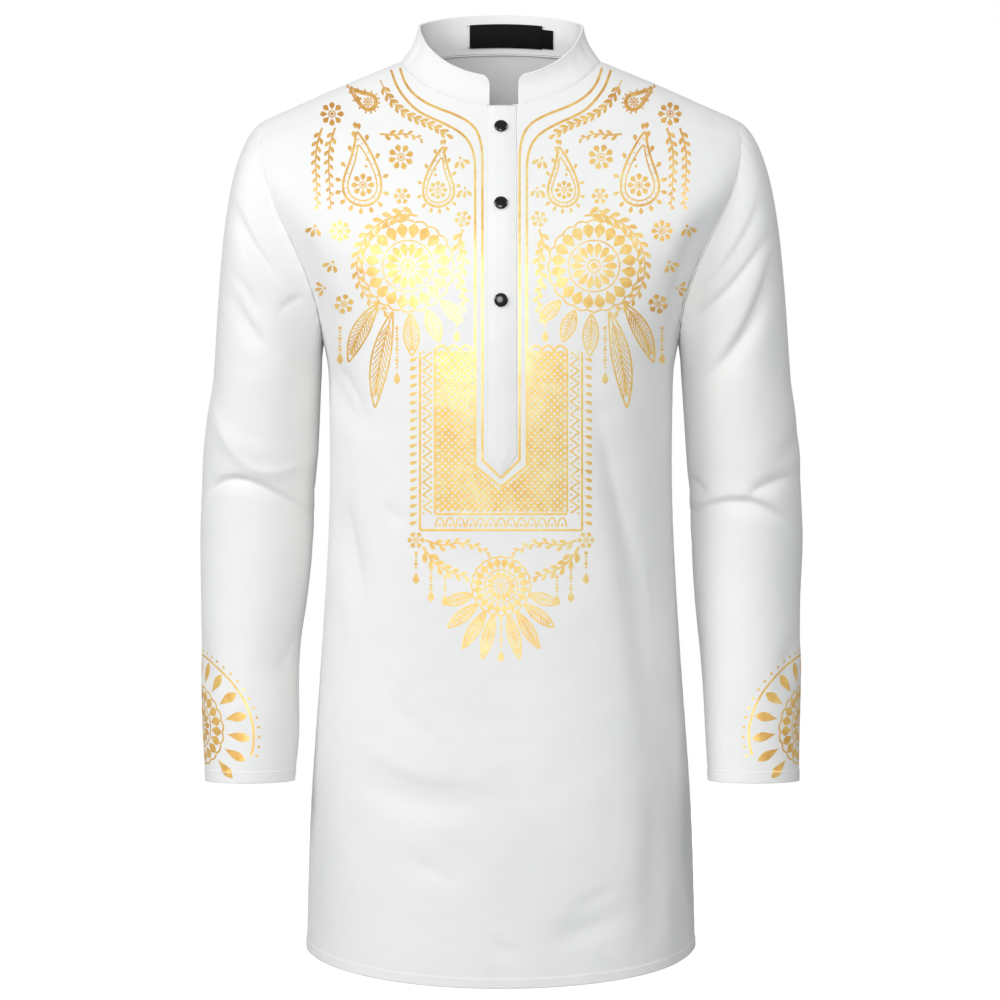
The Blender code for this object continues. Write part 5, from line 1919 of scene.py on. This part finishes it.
        for way in (-1, 1):
            for start in np.arange(-600, 600, 6.6):
                run: list[tuple[float, float]] = []
                for y in np.arange(350, 514, 1.1):
                    x = start + way * (y - 430)
                    if inside(x, y):
                        run.append((x, y))
                        continue
                    if len(run) > 2:
                        drawing.ribbon(np.array(run)[:: 2 if len(run) > 5 else 1], 2.45)
                    run = []
        for way in (-1, 1):
            u = np.linspace(0, 1, 31)
            scallop = np.stack([28.5 + 37 * u, 350 - 4.5 * np.abs(np.sin(3 * math.pi * u))], axis=-1)
            drawing.ribbon(scallop * (way, 1), 2.2)
            drawing.ribbon(straight([(66 * way, 349), (66 * way, 513)]), 2.4)
            drawing.ribbon(straight([(81 * way, 352), (81 * way, 530)]), 2.2)
            zigzag = [(69.5 * way + 8.5 * way * (n % 2), 352 + 6.2 * n) for n in range(27)]
            drawing.mitred(zigzag, 1.7)
            for n in range(27):
                drawing.disc((77.3 - 7.2 * (n % 2)) * way, 352 + 6.2 * n, 1.2)
            for n in range(20):
                drawing.leaf(83.5 * way, 358 + 8.6 * n, (0.35 if way > 0 else math.pi - 0.35), 8.5, 4.0)
        drawing.ribbon(straight([(-66, 514), (66, 514)]), 2.4)
        drawing.ribbon(straight([(-81, 530), (81, 530)]), 2.4)
        for n in range(-6, 7):
            turn = np.linspace(0, math.pi, 12)
            arch = np.stack([n * 10.2 + 4.2 * np.cos(turn), 527 - 9.2 * np.sin(turn)], axis=-1)
            drawing.ribbon(arch, 1.6)
            drawing.disc(n * 10.2, 525, 1.5)
        return drawing

    def pendant(self) -> Drawing:
        """The drop below the panel: a rosette hung on leafy swags, over a fan of long leaves."""
        drawing = Drawing()
        drawing.dahlia(0, 586, 27)
        half = Drawing()
        half.rosette(85, 540, 8.5, 6)
        half.vine(flow([(78, 547), (68, 561), (50, 572), (31, 578)]), 2.6, 13, 4.8)
        half.vine(flow([(76, 540), (60, 545), (42, 543), (24, 547), (10, 554)]), 2.2, 10, 5.0)
        for x, top, foot in ((85, 553, 584), (70, 567, 602), (56, 577, 606)):
            half.bead_drop(x, top, foot)
        for way, length in ((0.30, 30), (0.66, 38), (1.02, 44), (1.32, 46)):
            half.veined_leaf(29.5 * math.cos(way), 586 + 29.5 * math.sin(way), way, length, 11)
        for way in (-1, 1):
            drawing.add(half, way)
        drawing.bead_drop(0, 618, 662)
        return drawing

    def cuff(self) -> Drawing:
        """A cuff's motif: x round from the outer line, y up from the edge, in millimetres."""
        drawing = Drawing()
        x, y = 9, 53
        drawing.dahlia(x, y, 34)
        count = 18
        for n in range(count):
            way = (n + 0.5) * 2 * math.pi / count
            at = (x + 41 * math.cos(way), y + 41 * math.sin(way))
            if at[1] > 20:
                drawing.leaf(*at, way, 22, 8.6)
        turn = np.linspace(-0.42, math.pi + 0.42, 120)
        drawing.ribbon(np.stack([x + 66 * np.cos(turn), y + 65 * np.sin(turn)], axis=-1)[::2], 2.0)
        for way in np.linspace(-0.40, math.pi + 0.40, 31):
            drawing.disc(x + 71 * math.cos(way), y + 70 * math.sin(way), 1.4)
        return drawing

    def build(self) -> None:
        """Lays the whole print."""
        for draw in (self.neck_lines, self.chest, self.pendant):
            dress_piece(draw().lay("foil_" + draw.__name__, self.on_front, self.foil), None)
        for side in Side:
            yoke = Drawing()
            yoke.add(self.yoke(), side.value)
            dress_piece(yoke.lay("foil_yoke_" + side.word, self.on_front, self.foil), None)
            dress_piece(self.cuff().lay("foil_cuff_" + side.word, self.on_cuff(side), self.foil), None)


class Studio:
    """White room: camera at the photograph's place, soft light from the upper left, pale floor."""

    camera_place = (-0.0009, -2.8, -0.4086)
    lens = 36 * 2.8 / 0.935
    lamps_aim = (0, 0, -0.4)
    floor_z = -0.955
    floor_radius = 2.6
    floor_sides = 64
    room_light = 0.38

    def build(self) -> None:
        """Sets up the camera, the light and the floor."""
        scene = bpy.context.scene
        view = bpy.data.cameras.new("camera")
        view.lens = self.lens
        camera = link_object("camera", view)
        camera.location = self.camera_place
        camera.rotation_euler = (math.pi / 2, 0, 0)
        scene.camera = camera
        scene.view_settings.view_transform = "Standard"
        self.lamp("key", (-2.3, -1.9, 1.2), 1.4, 38)
        self.lamp("front", (-0.4, -3.2, 0.6), 1.6, 46)
        self.lamp("fill", (1.6, -0.5, 1.1), 0.14, 3)
        self.lamp("glint", (1.6, -0.85, 0.95), 0.45, 20, height=1.2, gloss_only=True)
        self.world()
        self.floor()

    def lamp(
        self,
        name: str,
        place: tuple[float, float, float],
        size: float,
        power: float,
        height: float | None = None,
        gloss_only: bool = False,
    ) -> None:
        """Hangs a soft box that faces the shirt.

        Args:
            name: Its name.
            place: Where it hangs.
            size: Its width.
            power: Its power in watts.
            height: Its height, where it isn't square.
            gloss_only: Seen in glossy finishes and nowhere else.
        """
        light = bpy.data.lights.new(name, "AREA")
        light.shape = "ELLIPSE"
        light.size, light.size_y, light.energy = size, height or size, power
        lamp = link_object(name, light)
        lamp.visible_diffuse = not gloss_only
        lamp.location = place
        lamp.rotation_euler = (Vector(self.lamps_aim) - Vector(place)).to_track_quat("-Z", "Y").to_euler()

    def world(self) -> None:
        """A white room that gives a softer light than it shows."""
        world = bpy.data.worlds.new("white_room")
        bpy.context.scene.world = world
        world.use_nodes = True
        tree = world.node_tree
        shown = tree.nodes["Background"]
        shown.inputs["Color"].default_value = (1, 1, 1, 1)
        lit = tree.nodes.new("ShaderNodeBackground")
        lit.inputs["Color"].default_value = (0.98, 0.99, 1.0, 1)
        lit.inputs["Strength"].default_value = self.room_light
        path = tree.nodes.new("ShaderNodeLightPath")
        mix = tree.nodes.new("ShaderNodeMixShader")
        tree.links.new(path.outputs["Is Camera Ray"], mix.inputs[0])
        tree.links.new(lit.outputs[0], mix.inputs[1])
        tree.links.new(shown.outputs[0], mix.inputs[2])
        tree.links.new(mix.outputs[0], tree.nodes["World Output"].inputs["Surface"])

    def floor(self) -> None:
        """A plain pale floor below the hem."""
        turns = np.linspace(0, 2 * math.pi, self.floor_sides, endpoint=False)
        across, ahead = self.floor_radius * np.cos(turns), self.floor_radius * np.sin(turns)
        rim = np.stack([across, ahead, 0 * turns + self.floor_z], axis=-1)
        shade = Shade("pale_floor")
        cloud = shade.noise(shade.object_place(), 3.0, 2.0)
        finish = shade.dress(
            Base_Color=shade.blend(cloud, (0.86, 0.86, 0.86, 1), (0.9, 0.9, 0.9, 1)),
            Roughness=0.9,
            Emission_Color=(1, 1, 1, 1),
            Emission_Strength=0.75,
        )
        floor = link_mesh("floor", rim, [tuple(range(self.floor_sides))], finish, smooth=False)
        floor.visible_diffuse = False
        floor.visible_glossy = False


def main() -> None:
    """Builds the shirt piece by piece."""
    logging.basicConfig(level=logging.INFO, format="%(message)s")
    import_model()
    form = ShirtForm()
    cloth = WhiteCloth().material("white_cloth")
    trunk = Trunk(form, cloth)
    trunk.build()
    sleeves = {side: Sleeve(form, side, cloth) for side in Side}
    for sleeve in sleeves.values():
        sleeve.build()
    collar, placket = Collar(form, cloth), Placket(form, cloth)
    collar.build()
    placket.build()
    SeamEdges(form, cloth).build()
    Sewing(form, trunk, sleeves, collar, placket).build()
    Buttons(form, ButtonGloss().material("button_gloss")).build()
    NeckLabels(form, WovenTape().material("label_tape")).build()
    FoilPrint(trunk, sleeves, GoldFoil().material("gold_foil")).build()
    Studio().build()


if __name__ == "__main__":
    main()
